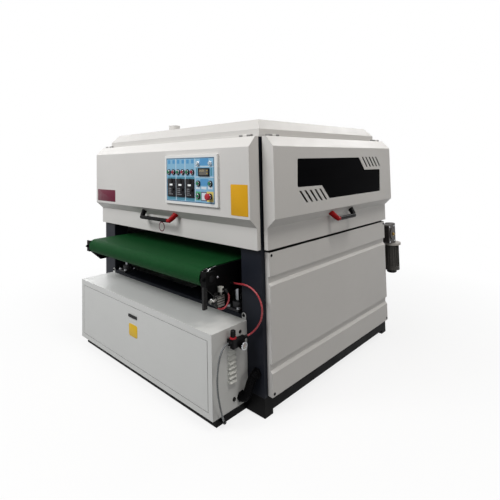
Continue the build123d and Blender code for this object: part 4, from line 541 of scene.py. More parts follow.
@dataclass
class PrintedFilm(Finish):
    """Printed film on the control panel: fine mesh print under a satin coat."""

    roughness: float = 0.36

    def dress(self) -> None:
        """Builds the print with its fine dot mesh and handling marks."""
        dots = self.spread(self.cells(900), 0.2, 0.6)
        handled = self.marks(scale=24, detail=5, start=0.5, full=0.8, share=0.22, rough=0.6)
        printed = self.tint(dots, self.colour, self.shade(0.93))
        colour = self.tint(handled, printed, self.shade(0.8))
        rough = self.cloud(scale=30, detail=4, low=self.roughness - 0.08, high=self.roughness + 0.1)
        normal = self.grain(scale=1800, detail=2, strength=0.05, distance=0.0003)
        self.surface(base_color=colour, roughness=rough, specular_ior_level=0.16, normal=normal)


@dataclass
class LitFace(Finish):
    """Lamp lens or display that gives a little light of its own."""

    glow: float = 0.3

    def dress(self) -> None:
        """Builds a faintly lit, clouded face."""
        colour = self.tint(self.cloud(scale=120), self.shade(0.86), self.colour)
        self.surface(base_color=colour, roughness=self.cloud(scale=60, low=0.15, high=0.3), emission_color=colour,
                     emission_strength=self.glow)


@dataclass
class BrushFibre(Finish):
    """Abrasive fibre strips, each finger of its own shade."""

    def dress(self) -> None:
        """Builds fibres with fine streaks along them."""
        streaks = self.noise(scale=260, detail=3, rough=0.6)
        shade = self.cells(150, "Color", self.stretch((1.0, 0.2, 0.2)))
        colour = self.tint(self.spread(shade, 0.2, 0.8), self.shade(0.6), self.shade(1.25))
        worn = self.tint(self.spread(streaks, 0.55, 0.8, 0.0, 0.6), colour, self.shade(1.7))
        self.surface(base_color=worn, roughness=self.spread(streaks, 0.3, 0.7, 0.65, 0.9), specular_ior_level=0.2,
                     normal=self.bump(streaks, 0.3, 0.0006))


COVER_WHITE = Enamel("cover_satin_enamel", chip(214, 212, 209))
CABINET_GREY = Enamel("cabinet_grey_enamel", chip(217, 218, 216), roughness=0.4)
COLUMN_NAVY = FramePaint("column_dark_enamel", chip(28, 31, 39), roughness=0.45, edge_share=1.8, grime=0.3, gloss=0.12,
                         upper=COVER_WHITE.colour)
TABLE_BLACK = Enamel("table_black_enamel", chip(7, 7, 8), roughness=0.46, edge_share=3.0, grime=0.3, gloss=0.05)
BASE_BLACK = Enamel("base_black_enamel", chip(11, 11, 12), roughness=0.5, edge_share=2.2, grime=0.3, gloss=0.06)
MOTOR_DARK = Enamel("motor_dark_enamel", chip(36, 39, 44), edge_share=1.7, grime=0.3, gloss=0.18)
# Painted highlight: the louvre hoods take a paler copy of the cabinet's grey.
HOOD_HIGHLIGHT_GREY = Enamel("louvre_grey_enamel", chip(226, 227, 222), roughness=0.4)
HINGE_GREY = Enamel("hinge_grey_enamel", chip(140, 140, 138), roughness=0.45)
# Painted shade: the lid takes a darker copy of the covers' white.
LID_SHADED_WHITE = Enamel("lid_satin_enamel", chip(205, 203, 200))
BOX_WHITE = Enamel("control_box_enamel", chip(234, 234, 232), roughness=0.4)
TURNED_STEEL = BareMetal("turned_steel", chip(178, 178, 176), axis=Axis.X)
ZINC_PLATE = BareMetal("zinc_plate", chip(196, 198, 202), roughness=0.32)
CHROME_BAR = BareMetal("chrome_bar_stock", chip(212, 214, 218), roughness=0.14, lines=0.03, stain=0.12)
YELLOW_ZINC = BareMetal("yellow_zinc", chip(150, 124, 66), axis=Axis.Y)
# Painted shade: the lift rods' chrome is darkened to stand in for the dark surroundings it reflects.
ROD_DARKENED_CHROME = BareMetal("lift_rod_chrome", chip(128, 130, 134), roughness=0.1, lines=0.03, stain=0.1)
BEZEL_CHROME = BareMetal("bezel_chrome", chip(205, 208, 214), roughness=0.16, axis=Axis.Y, lines=0.03, stain=0.1)
CAST_ALLOY = CastMetal("cast_alloy_skin", chip(150, 153, 156), roughness=0.42, speckle=0.25, metallic=0.8)
PULLEY_IRON = CastMetal("pulley_cast_iron", chip(92, 94, 97), roughness=0.42, speckle=0.35, metallic=0.7)
GEAR_CASE = CastMetal("gear_case_skin", chip(48, 45, 44), roughness=0.46, speckle=0.9, metallic=0.5, speck_share=5.5)
DRILLED_IRON = CastMetal("cast_iron_skin", chip(52, 52, 55), speckle=0.6, metallic=0.4)
BELT_GREEN = RoughTopBelt("belt_rough_top", chip(11, 74, 32))
RUBBER_BLACK = Rubber("rubber_black", chip(15, 15, 16))
ROLLER_GREY = Rubber("roller_rubber_grey", chip(58, 58, 60))
BRUSH_TAN = BrushFibre("brush_fibre_tan", chip(150, 106, 62))
CONDUIT_BLACK = Moulding("conduit_black", chip(5, 5, 6), roughness=0.42, gloss=0.04)
PLASTIC_BLACK = Moulding("plastic_black", chip(12, 12, 14), roughness=0.36, gloss=0.1)
INSTRUMENT_BLACK = Moulding("instrument_black_case", chip(24, 24, 29), roughness=0.34, gloss=0.12)
KEY_GREY = Moulding("key_grey", chip(150, 152, 156), roughness=0.4)
FILM_BLUE = PrintedFilm("film_sky_blue", chip(140, 190, 220))
FILM_PALE = PrintedFilm("film_pale_line", chip(222, 232, 240))
FILM_DEEP = PrintedFilm("film_deep_blue", chip(92, 158, 208))
FILM_TEAL = PrintedFilm("film_teal", chip(86, 148, 172))
FILM_BORDER = PrintedFilm("film_dark_border", chip(62, 66, 96))
FILM_GREEN = PrintedFilm("film_green_patch", chip(92, 176, 128))
FILM_YELLOW = PrintedFilm("film_yellow_patch", chip(232, 212, 120))
PLATE_ORANGE = PrintedFilm("plate_orange_yellow", chip(220, 164, 24))
PLATE_CRIMSON = PrintedFilm("plate_crimson", chip(102, 24, 50))
PLATE_PALE = PrintedFilm("plate_pale_disc", chip(226, 222, 218))
PLATE_YELLOW = PrintedFilm("plate_yellow", chip(232, 190, 40))
GREEN_CAP = Moulding("cap_green", chip(30, 122, 84), roughness=0.3)
RED_CAP = Moulding("cap_red", chip(178, 30, 44), roughness=0.3)
CRIMSON_CAP = Moulding("cap_crimson", chip(146, 30, 52), roughness=0.3)
YELLOW_CAP = Moulding("cap_yellow", chip(226, 190, 60), roughness=0.34)
PANE_SMOKE = SmokedPane("window_smoke_pane", chip(7, 7, 9))
TUBE_RED = AirTube("air_tube_red", chip(176, 56, 64), through=0.12)
TUBE_CLEAR = AirTube("air_tube_clear", chip(118, 122, 124), through=0.3, roughness=0.2)
DIAL_WHITE = PrintedFilm("dial_white", chip(212, 213, 209), roughness=0.3)
LAMP_WHITE = LitFace("lamp_lens_white", chip(196, 212, 222), glow=0.05)
DISPLAY_WHITE = LitFace("display_white", chip(226, 230, 230), glow=0.25)
DISPLAY_DIM = LitFace("display_dim", chip(92, 88, 80), glow=0.05)
DISPLAY_LIT = LitFace("display_lit", chip(206, 190, 140), glow=0.3)

FINISH_OF_SLOT: dict[str, Finish] = {
    "cover_paint": COVER_WHITE,
    "cabinet_paint": CABINET_GREY,
    "frame_paint": COLUMN_NAVY,
    "base_paint": BASE_BLACK,
    "motor_paint": MOTOR_DARK,
    "machined_steel": TURNED_STEEL,
    "zinc_steel": ZINC_PLATE,
    "chrome_bar": CHROME_BAR,
    "cast_aluminium": CAST_ALLOY,
    "cast_housing": DRILLED_IRON,
    "feed_belt_pvc": BELT_GREEN,
    "black_rubber": RUBBER_BLACK,
    "roller_rubber": ROLLER_GREY,
    "brush_bristle": BRUSH_TAN,
    "black_plastic": PLASTIC_BLACK,
    "panel_film": FILM_BLUE,
    "instrument_black": INSTRUMENT_BLACK,
    "window_smoke": PANE_SMOKE,
    "green_plastic": GREEN_CAP,
    "red_plastic": RED_CAP,
    "yellow_plastic": YELLOW_CAP,
    "red_tube": TUBE_RED,
    "clear_tube": TUBE_CLEAR,
}

UNIT_BLACK = chip(7, 7, 8)
DUCT_GREY = chip(158, 162, 166)
# Heights of the black stripes painted as shade in the grooves between the tracking block's ribs.
SHADED_GROOVE_FEET = (598.4, 611.4, 624.4, 637.4)
SHADED_GROOVE_HEIGHT = 5.0
KNOB_ZONES = (Zone((770, -95, 440), (830, -30, 453.7), chip(178, 26, 40), roughness=0.34),)
TRACKING_ZONES = (
    Zone((670, -85.5, 580), (680.2, -15, 661), UNIT_BLACK, roughness=0.45),
    Zone((670, -170, 580), (690, -138, 720), UNIT_BLACK, roughness=0.45),
    Zone((705, -140, 580), (750, 0, 700), UNIT_BLACK, roughness=0.36),
    Zone((670, 30, 670), (700, 80, 710), UNIT_BLACK, roughness=0.36),
    Zone((670, -63, 664.8), (709.5, -25, 692), chip(226, 226, 220), roughness=0.36),
    Zone((676, -115, 612), (707, -102, 643), chip(216, 216, 214), metallic=1.0, roughness=0.2),
    Zone((679.9, -82, 587), (702.5, -80.2, 646), UNIT_BLACK),
    Zone((682, -79, 644.6), (702, -30, 646), chip(70, 70, 70), metallic=0.2),
    # Painted shade: the grooves between the block's ribs are painted black.
    *(Zone((701, -81.6, foot), (702.5, -27.4, foot + SHADED_GROOVE_HEIGHT), UNIT_BLACK, roughness=0.5)
      for foot in SHADED_GROOVE_FEET),
)
FEED_MOTOR_ZONES = (
    Zone((760, 1650, 656), (1000, 1900, 676), chip(176, 172, 166), metallic=0.2, roughness=0.45),
    Zone((760, 1650, 400), (1000, 1900, 450.4), UNIT_BLACK),
    Zone((760, 1650, 500), (800, 1900, 610), UNIT_BLACK, roughness=0.42),
)
SWITCHGEAR_ZONES = (
    Zone((-640, 9, 124), (640, 59.4, 166), DUCT_GREY, roughness=0.42),
    Zone((-640, 9, 370), (640, 59.4, 412), DUCT_GREY, roughness=0.42),
    Zone((-640, -11, 200), (-525, 59.4, 335), chip(36, 37, 40)),
    Zone((-505, -20, 222), (-105, 59.4, 314), chip(202, 200, 192)),
    Zone((-85, -36, 205), (50, 59.4, 331), chip(88, 84, 82), metallic=0.4, roughness=0.45),
    Zone((70, 15, 243), (452, 59.4, 293), chip(120, 128, 124), roughness=0.42),
)
HANDLE_BLACK = chip(10, 10, 12)
HANDLE_RED = chip(156, 22, 26)
ACROSS_SPLIT = ("X", 0.1485, True)
ALONG_SPLIT = ("Y", -0.0960, False)
HANDLE_SPLITS = {"front": ACROSS_SPLIT, "rear": ACROSS_SPLIT, "right": ALONG_SPLIT, "left": ALONG_SPLIT}
FINISH_OF_NODE: dict[str, Finish] = {
    "table_frame": TABLE_BLACK,
    "switchgear": ZonedSkin("switchgear_skin", chip(186, 188, 186), SWITCHGEAR_ZONES, metallic=0.4, roughness=0.42),
    "take_up_units": TABLE_BLACK,
    "cover_hinges": HINGE_GREY,
    "gearbox": GEAR_CASE,
    "regulator_knob": ZonedSkin("regulator_knob_skin", UNIT_BLACK, KNOB_ZONES),
    "tracking_unit": ZonedSkin("tracking_unit_skin", chip(150, 150, 146), TRACKING_ZONES, metallic=0.2),
    "feed_motor": ZonedSkin("feed_motor_skin", chip(74, 72, 69), FEED_MOTOR_ZONES, metallic=0.1, roughness=0.5,
                            dust=0.2),
    "lift_rods": ROD_DARKENED_CHROME,
    "control_box": BOX_WHITE,
    "lid": LID_SHADED_WHITE,
    **{f"stop_button_{number}": CRIMSON_CAP for number in (1, 2, 3)},
    **{f"{side}_handle": HandlePaint(f"handle_{side}", HANDLE_BLACK, HANDLE_RED, *split)
       for side, split in HANDLE_SPLITS.items()},
}

BUTTONS = (*(f"{kind}_button_{number}" for number in (1, 2, 3) for kind in ("start", "stop")),
           "table_up_button", "table_down_button", "power_button", "emergency_stop")


class Shape:
    """Collects the solid forms of one piece, in millimetres."""

    def __init__(self) -> None:
        """Starts an empty piece."""
        self.bm = bmesh.new()

    def block(self, low: Sequence[float], high: Sequence[float], edge: float) -> None:
        """Adds a block with its edges rounded over.

        Args:
            low: Its lowest corner.
            high: Its highest corner.
            edge: Radius of its edges.
        """
        made = bmesh.ops.create_cube(self.bm, size=1.0)["verts"]
        for vert in made:
            vert.co = Vector((a + (b - a) * (c + 0.5) for a, b, c in zip(low, high, vert.co)))
        lines = list({line for vert in made for line in vert.link_edges})
        bmesh.ops.bevel(self.bm, geom=lines, offset=edge, segments=2, profile=0.5, affect="EDGES")

    def turned(self, profile: Profile, base: Vector, aim: Sequence[float], steps: int = 40,
               ring: bool = False) -> None:
        """Adds a turned form.

        Args:
            profile: Radius and place along the axis of each step, from one end to the other.
            base: Where the axis starts.
            aim: Direction of the axis.
            steps: Sides round the axis.
            ring: True where the profile closes on itself, as in a ring.
        """
        turn = Vector(aim).to_track_quat("Z", "Y").to_matrix()
        rings = []
        for radius, along in profile:
            around = [(radius * c, radius * s, along) for c, s in circle(steps)] if radius > 0 else [(0, 0, along)]
            rings.append([self.bm.verts.new(base + turn @ Vector(place)) for place in around])
        pairs = list(zip(rings, rings[1:]))
        if ring:
            pairs.append((rings[-1], rings[0]))
        for first, second in pairs:
            self.bridge(first, second, steps)

    def bridge(self, first: list, second: list, steps: int) -> None:
        """Joins two rings with faces.

        Args:
            first: Corners of one ring, or its single tip.
            second: Corners of the next ring, or its single tip.
            steps: Sides of a ring.
        """
        for i in range(steps):
            j = (i + 1) % steps
            if len(first) == 1:
                self.bm.faces.new((first[0], second[j], second[i]))
            elif len(second) == 1:
                self.bm.faces.new((first[i], first[j], second[0]))
            else:
                self.bm.faces.new((first[i], first[j], second[j], second[i]))

    def closed_run(self, rings: Sequence[list]) -> None:
        """Joins rings one after the other and closes both ends.

        Args:
            rings: Corners of each ring, from one end to the other.
        """
        for first, second in zip(rings, rings[1:]):
            self.bridge(first, second, len(first))
        self.bm.faces.new(list(reversed(rings[0])))
        self.bm.faces.new(rings[-1])

    def plate(self, middle: Pair, size: Pair, back: float, thick: float, corner: float, edge: float = 0.0,
              steps: int = 5) -> None:
        """Adds a flat plate with round corners that faces the front of the machine.

        Args:
            middle: Its middle in X and Z.
            size: Its width and height.
            back: Y of its rear face.
            thick: How far it stands forward of that.
            corner: Radius of its corners.
            edge: Width of the bevel round its front.
            steps: Sides of each corner.
        """
        outline = []
        for k, signs in enumerate(((1, 1), (-1, 1), (-1, -1), (1, -1))):
            x, z = (m + sign * (long / 2 - corner) for m, sign, long in zip(middle, signs, size))
            angles = (math.pi / 2 * (k + i / steps) for i in range(steps + 1))
            outline += [(x + corner * math.cos(angle), z + corner * math.sin(angle)) for angle in angles]
        rear, front = ([self.bm.verts.new((x, y, z)) for x, z in outline] for y in (back, back - thick))
        face = self.bm.faces.new(front)
        self.bm.faces.new(list(reversed(rear)))
        self.bridge(rear, front, len(outline))
        if edge > 0:
            bmesh.ops.bevel(self.bm, geom=list(face.edges), offset=edge, segments=2, profile=0.5, affect="EDGES")

    def tube(self, path: Sequence[Vector], radius: float, sides: int = 16) -> None:
        """Adds a round tube, its ends closed.

        Args:
            path: Points that its middle follows.
            radius: Its outer radius.
            sides: Sides round it.
        """
        across = (path[1] - path[0]).normalized().orthogonal().normalized()
        rings = []
        for i, point in enumerate(path):
            tangent = (path[min(i + 1, len(path) - 1)] - path[max(i - 1, 0)]).normalized()
            across = (across - tangent * across.dot(tangent)).normalized()
            other = tangent.cross(across)
            rings.append([self.bm.verts.new(point + across * radius * c + other * radius * s)
                          for c, s in circle(sides)])
        self.closed_run(rings)

    def mesh(self, name: str, crease: float = 38.0) -> Mesh:
        """Turns what was collected into a mesh in metres.

        Args:
            name: Name of the mesh.
            crease: Angle in degrees past which an edge stays sharp.

        Returns:
            The mesh, with its faces pointing outwards.
        """
        for vert in self.bm.verts:
            vert.co *= MM
        bmesh.ops.recalc_face_normals(self.bm, faces=self.bm.faces)
        result = bpy.data.meshes.new(name)
        self.bm.to_mesh(result)
        self.bm.free()
        result.shade_smooth()
        result.set_sharp_from_angle(angle=math.radians(crease))
        return result

    def fit(self, name: str, finish: Finish, body: str, slot: str, crease: float = 38.0) -> None:
        """Puts what was collected on the machine as one piece, with the values that place and mesh take."""
        place(name, self.mesh(name, crease), finish, body, slot)


def place(name: str, mesh: Mesh, finish: Finish | None, body: str | None, slot: str,
          stands_for: Sequence[str] = ()) -> Thing:
    """Puts a piece on the machine.

    Args:
        name: Name of the piece.
        mesh: Its mesh, already where it belongs.
        finish: Its finish, or None where the mesh already has its material.
        body: The body that it moves with, or None where it bends between two.
        slot: Not used.
        stands_for: CAD nodes that it replaces.

    Returns:
        The piece.
    """
    piece = bpy.data.objects.new(name, mesh)
    bpy.context.scene.collection.objects.link(piece)
    if finish:
        mesh.materials.append(finish.made())
    if stands_for:
        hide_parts(*stands_for)
    if body:
        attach(piece, body)
        LOG.info("%s rides on %s, %d faces", name, body, len(mesh.polygons))
    return piece


def evaluated_mesh(holder: Thing) -> Mesh:
    """Makes plain data of what an object gives with its modifiers.

    Args:
        holder: The object, which isn't in the scene.

    Returns:
        The mesh.
    """
    bpy.context.scene.collection.objects.link(holder)
    graph = bpy.context.evaluated_depsgraph_get()
    result = bpy.data.meshes.new_from_object(holder.evaluated_get(graph))
    bpy.context.scene.collection.objects.unlink(holder)
    return result


def nurbs_route(name: str, points: Sequence[Spot]) -> Thing:
    """Makes the smooth line of a route.

    Args:
        name: Name of the curve.
        points: Control points in X, depth and height.

    Returns:
        A curve object with no bevel, in metres.
    """
    curve = bpy.data.curves.new(name, "CURVE")
    curve.dimensions = "3D"
    spline = curve.splines.new("NURBS")
    spline.points.add(len(points) - 1)
    for target, point in zip(spline.points, points):
        target.co = (*(spot(*point) * MM), 1.0)
    spline.order_u = 3
    spline.use_endpoint_u = True
    spline.resolution_u = 10
    return bpy.data.objects.new(name, curve)


def points_along(name: str, points: Sequence[Spot]) -> list[Vector]:
    """Returns the points that the smooth line of a route gives, in metres."""
    return [vert.co.copy() for vert in evaluated_mesh(nurbs_route(name, points)).vertices]


class NodePattern(NodeSheet):
    """Geometry Nodes tree with named inputs that repeats a form over points or along a path."""

    crease = 32.0

    def __init__(self, name: str) -> None:
        """Starts a tree with its way in and out.

        Args:
            name: Name of the tree.
        """
        super().__init__(bpy.data.node_groups.new(name, "GeometryNodeTree"))
        for way in ("INPUT", "OUTPUT"):
            self.tree.interface.new_socket("Geometry", in_out=way, socket_type="NodeSocketGeometry")
        self.entry = self.tree.nodes.new("NodeGroupInput")
        self.exit = self.tree.nodes.new("NodeGroupOutput")

    def size(self, name: str, kind: str = "NodeSocketFloat") -> Socket:
        """Adds a named input and returns it."""
        self.tree.interface.new_socket(name, in_out="INPUT", socket_type=kind)
        return self.entry.outputs[name]

    def vector(self, x: Any, y: Any, z: Any) -> Socket:
        """Returns a vector made from three numbers."""
        return self.add("ShaderNodeCombineXYZ", {"X": x, "Y": y, "Z": z})

    def lifted(self, geometry: Socket, height: Any) -> Socket:
        """Returns the geometry moved up its own axis."""
        return self.add("GeometryNodeTransform", {"Geometry": geometry, "Translation": self.vector(0.0, 0.0, height)})

    def slab(self, size: Sequence[Any], foot: Any) -> Socket:
        """Returns a box of this size that stands at a height."""
        box = self.add("GeometryNodeMeshCube", {"Size": self.vector(*size)})
        return self.lifted(box, self.calc("ADD", foot, self.times(size[2], 0.5)))

    def stub(self, sides: int, foot: Any, height: Any, radius: Any) -> Socket:
        """Returns a straight stub with this many sides that stands at a height."""
        form = self.add("GeometryNodeMeshCylinder", {"Vertices": sides, "Radius": radius, "Depth": height})
        return self.lifted(form, self.calc("ADD", foot, self.times(height, 0.5)))

    def taper(self, sides: int, foot: Any, height: Any, radius: Any, top: Any) -> Socket:
        """Returns a stub that narrows from its radius to that of its top."""
        feeds = {"Vertices": sides, "Radius Bottom": radius, "Radius Top": top, "Depth": height}
        return self.lifted(self.add("GeometryNodeMeshCone", feeds), foot)

    def repeat(self, form: Socket) -> Socket:
        """Sets a form on every point, its axis along the point's aim and its X along the point's side.

        Args:
            form: The form, standing on its origin.

        Returns:
            The instances.
        """
        aim, side = (self.add("GeometryNodeInputNamedAttribute", {"Name": label}, data_type="FLOAT_VECTOR")
                     for label in ("aim", "side"))
        stood = self.add("FunctionNodeAlignRotationToVector", {"Vector": aim}, axis="Z")
        turned = self.add("FunctionNodeAlignRotationToVector", {"Rotation": stood, "Vector": side},
                          axis="X", pivot_axis="Z")
        return self.add("GeometryNodeInstanceOnPoints",
                        {"Points": self.entry.outputs["Geometry"], "Instance": form, "Rotation": turned})

    def close(self, geometry: Socket) -> None:
        """Realizes what was made, gives it its material and ends the tree.

        Args:
            geometry: The instances or the mesh.
        """
        material = self.size("Material", "NodeSocketMaterial")
        real = self.add("GeometryNodeRealizeInstances", {0: geometry})
        dressed = self.add("GeometryNodeSetMaterial", {"Geometry": real, "Material": material})
        self.feed(self.exit.inputs["Geometry"], dressed)

    def close_on_points(self, forms: list[Socket]) -> None:
        """Joins the forms, sets them on every point and ends the tree."""
        self.close(self.repeat(self.add("GeometryNodeJoinGeometry", {0: forms})))

    def bake(self, holder: Thing, finish: Finish, **sizes: Any) -> Mesh:
        """Runs the tree on an object and returns the result as a plain mesh.

        Args:
            holder: Object with the points or the path.
            finish: Finish of the result.
            sizes: Values of the tree's inputs, named in lower case with underscores.

        Returns:
            The mesh.
        """
        change = holder.modifiers.new(self.tree.name, "NODES")
        change.node_group = self.tree
        wanted = {"material": finish.made(), **sizes}
        for item in self.tree.interface.items_tree:
            key = item.name.lower().replace(" ", "_")
            if item.in_out == "INPUT" and key in wanted:
                change[item.identifier] = wanted[key]
        result = evaluated_mesh(holder)
        holder.modifiers.clear()
        result.shade_smooth()
        result.set_sharp_from_angle(angle=math.radians(self.crease))
        return result

    def set_out(self, name: str, finish: Finish, body: str, slot: str, points: Sequence[Vector], aim: Any, side: Any,
                stands_for: Sequence[str] = (), plain: dict[str, Any] | None = None, **sizes: float) -> None:
        """Sets the tree's form on points of the machine, as one piece.

        Args:
            name: Name of the piece.
            finish: Its finish.
            body: The body that it moves with.
            slot: Name of a material slot, passed on to place.
            points: Where the forms stand, in millimetres.
            aim: Direction of every form's axis, or a list with one for each point.
            side: Direction of every form's X, or a list with one for each point.
            stands_for: CAD nodes that it replaces.
            plain: Values of the tree's inputs that aren't lengths.
            sizes: Sizes of the form in millimetres.
        """
        mesh = bpy.data.meshes.new(f"{name}_points")
        mesh.from_pydata([point * MM for point in points], [], [])
        for label, value in (("aim", aim), ("side", side)):
            layer = mesh.attributes.new(label, "FLOAT_VECTOR", "POINT")
            directions = value if isinstance(value, list) else [value] * len(points)
            for item, direction in zip(layer.data, directions):
                item.vector = direction
        lengths = {key: value * MM for key, value in sizes.items()}
        made = self.bake(bpy.data.objects.new(mesh.name, mesh), finish, **lengths, **(plain or {}))
        place(name, made, None, body, slot, stands_for)


def hex_bolts() -> NodePattern:
    """Makes the tree that sets a hexagon bolt head on a washer at every point.

    Returns:
        The tree.
    """
    tree = NodePattern("hex_bolts")
    radius, height = tree.size("Head Radius"), tree.size("Head Height")
    washer, thick = tree.size("Washer Radius"), tree.size("Washer Thickness")
    body, crown, top = tree.times(height, 0.75), tree.times(height, 0.25), tree.times(radius, 0.86)
    tree.close_on_points([tree.stub(28, 0.0, thick, washer), tree.stub(6, thick, body, radius),
                          tree.taper(6, tree.calc("ADD", thick, body), crown, radius, top)])
    return tree


def cap_screws() -> NodePattern:
    """Makes the tree that sets a round button head with a raised rim at every point.

    Returns:
        The tree.
    """
    tree = NodePattern("cap_screws")
    radius, height = tree.size("Head Radius"), tree.size("Head Height")
    skirt, bevel, shoulder = tree.times(height, 0.35), tree.times(height, 0.4), tree.times(radius, 0.78)
    foot, crown, top = tree.times(height, 0.75), tree.times(height, 0.2), tree.times(radius, 0.5)
    tree.close_on_points([tree.stub(24, 0.0, skirt, radius), tree.taper(24, skirt, bevel, radius, shoulder),
                          tree.taper(24, foot, crown, shoulder, top)])
    return tree


def small_blocks() -> NodePattern:
    """Makes the tree that sets one block at every point, used for keys, ticks, ribs and segments.

    Returns:
        The tree.
    """
    tree = NodePattern("small_blocks")
    width, length, height = tree.size("Width"), tree.size("Length"), tree.size("Height")
    lower = tree.times(height, 0.7)
    crown = (tree.times(width, 0.86), tree.times(length, 0.86), tree.times(height, 0.3))
    tree.close_on_points([tree.slab((width, length, lower), 0.0), tree.slab(crown, lower)])
    return tree


def conduit_ribs() -> NodePattern:
    """Makes the tree that sweeps a ribbed hose along a curve.

    Returns:
        The tree.
    """
    tree = NodePattern("conduit_ribs")
    radius, depth, count = tree.size("Radius"), tree.size("Rib Depth"), tree.size("Ribs", "NodeSocketInt")
    steps = tree.times(count, 8.0)
    path = tree.add("GeometryNodeResampleCurve", {"Curve": tree.entry.outputs["Geometry"], "Count": steps})
    factor = tree.add("GeometryNodeSplineParameter", {}, "Factor")
    phase = tree.times(tree.times(factor, count), 2 * math.pi)
    wave = tree.times(tree.calc("ADD", tree.calc("COSINE", phase), 1.0), 0.5)
    waist = tree.times(tree.calc("POWER", wave, 1.6), depth)
    ring = tree.add("GeometryNodeCurvePrimitiveCircle", {"Resolution": 36, "Radius": 1.0})
    tree.close(tree.add("GeometryNodeCurveToMesh", {"Curve": path, "Profile Curve": ring, "Fill Caps": True,
                                                    "Scale": tree.calc("SUBTRACT", radius, waist)}))
    return tree


def brush_fingers() -> NodePattern:
    """Makes the tree that sets a slightly leaning abrasive finger at every point.

    Returns:
        The tree.
    """
    tree = NodePattern("brush_fingers")
    width, thick, length = tree.size("Width"), tree.size("Thickness"), tree.size("Length")
    lean, seed = tree.size("Lean"), tree.size("Seed", "NodeSocketInt")
    blade = tree.add("GeometryNodeMeshCube", {"Size": tree.vector(width, thick, length), "Vertices Z": 3})
    placed = tree.repeat(tree.lifted(blade, tree.times(length, 0.5)))
    back = tree.times(lean, -1.0)
    limits = {0: tree.vector(back, back, 0.0), 1: tree.vector(lean, lean, 0.0)}
    tilt = tree.add("FunctionNodeRandomValue", {**limits, "Seed": seed}, data_type="FLOAT_VECTOR")
    turn = tree.add("FunctionNodeEulerToRotation", {0: tilt})
    tree.close(tree.add("GeometryNodeRotateInstances", {"Instances": placed, "Rotation": turn}))
    return tree


BLOCKS = small_blocks()
HEX_BOLTS = hex_bolts()
CAP_SCREWS = cap_screws()


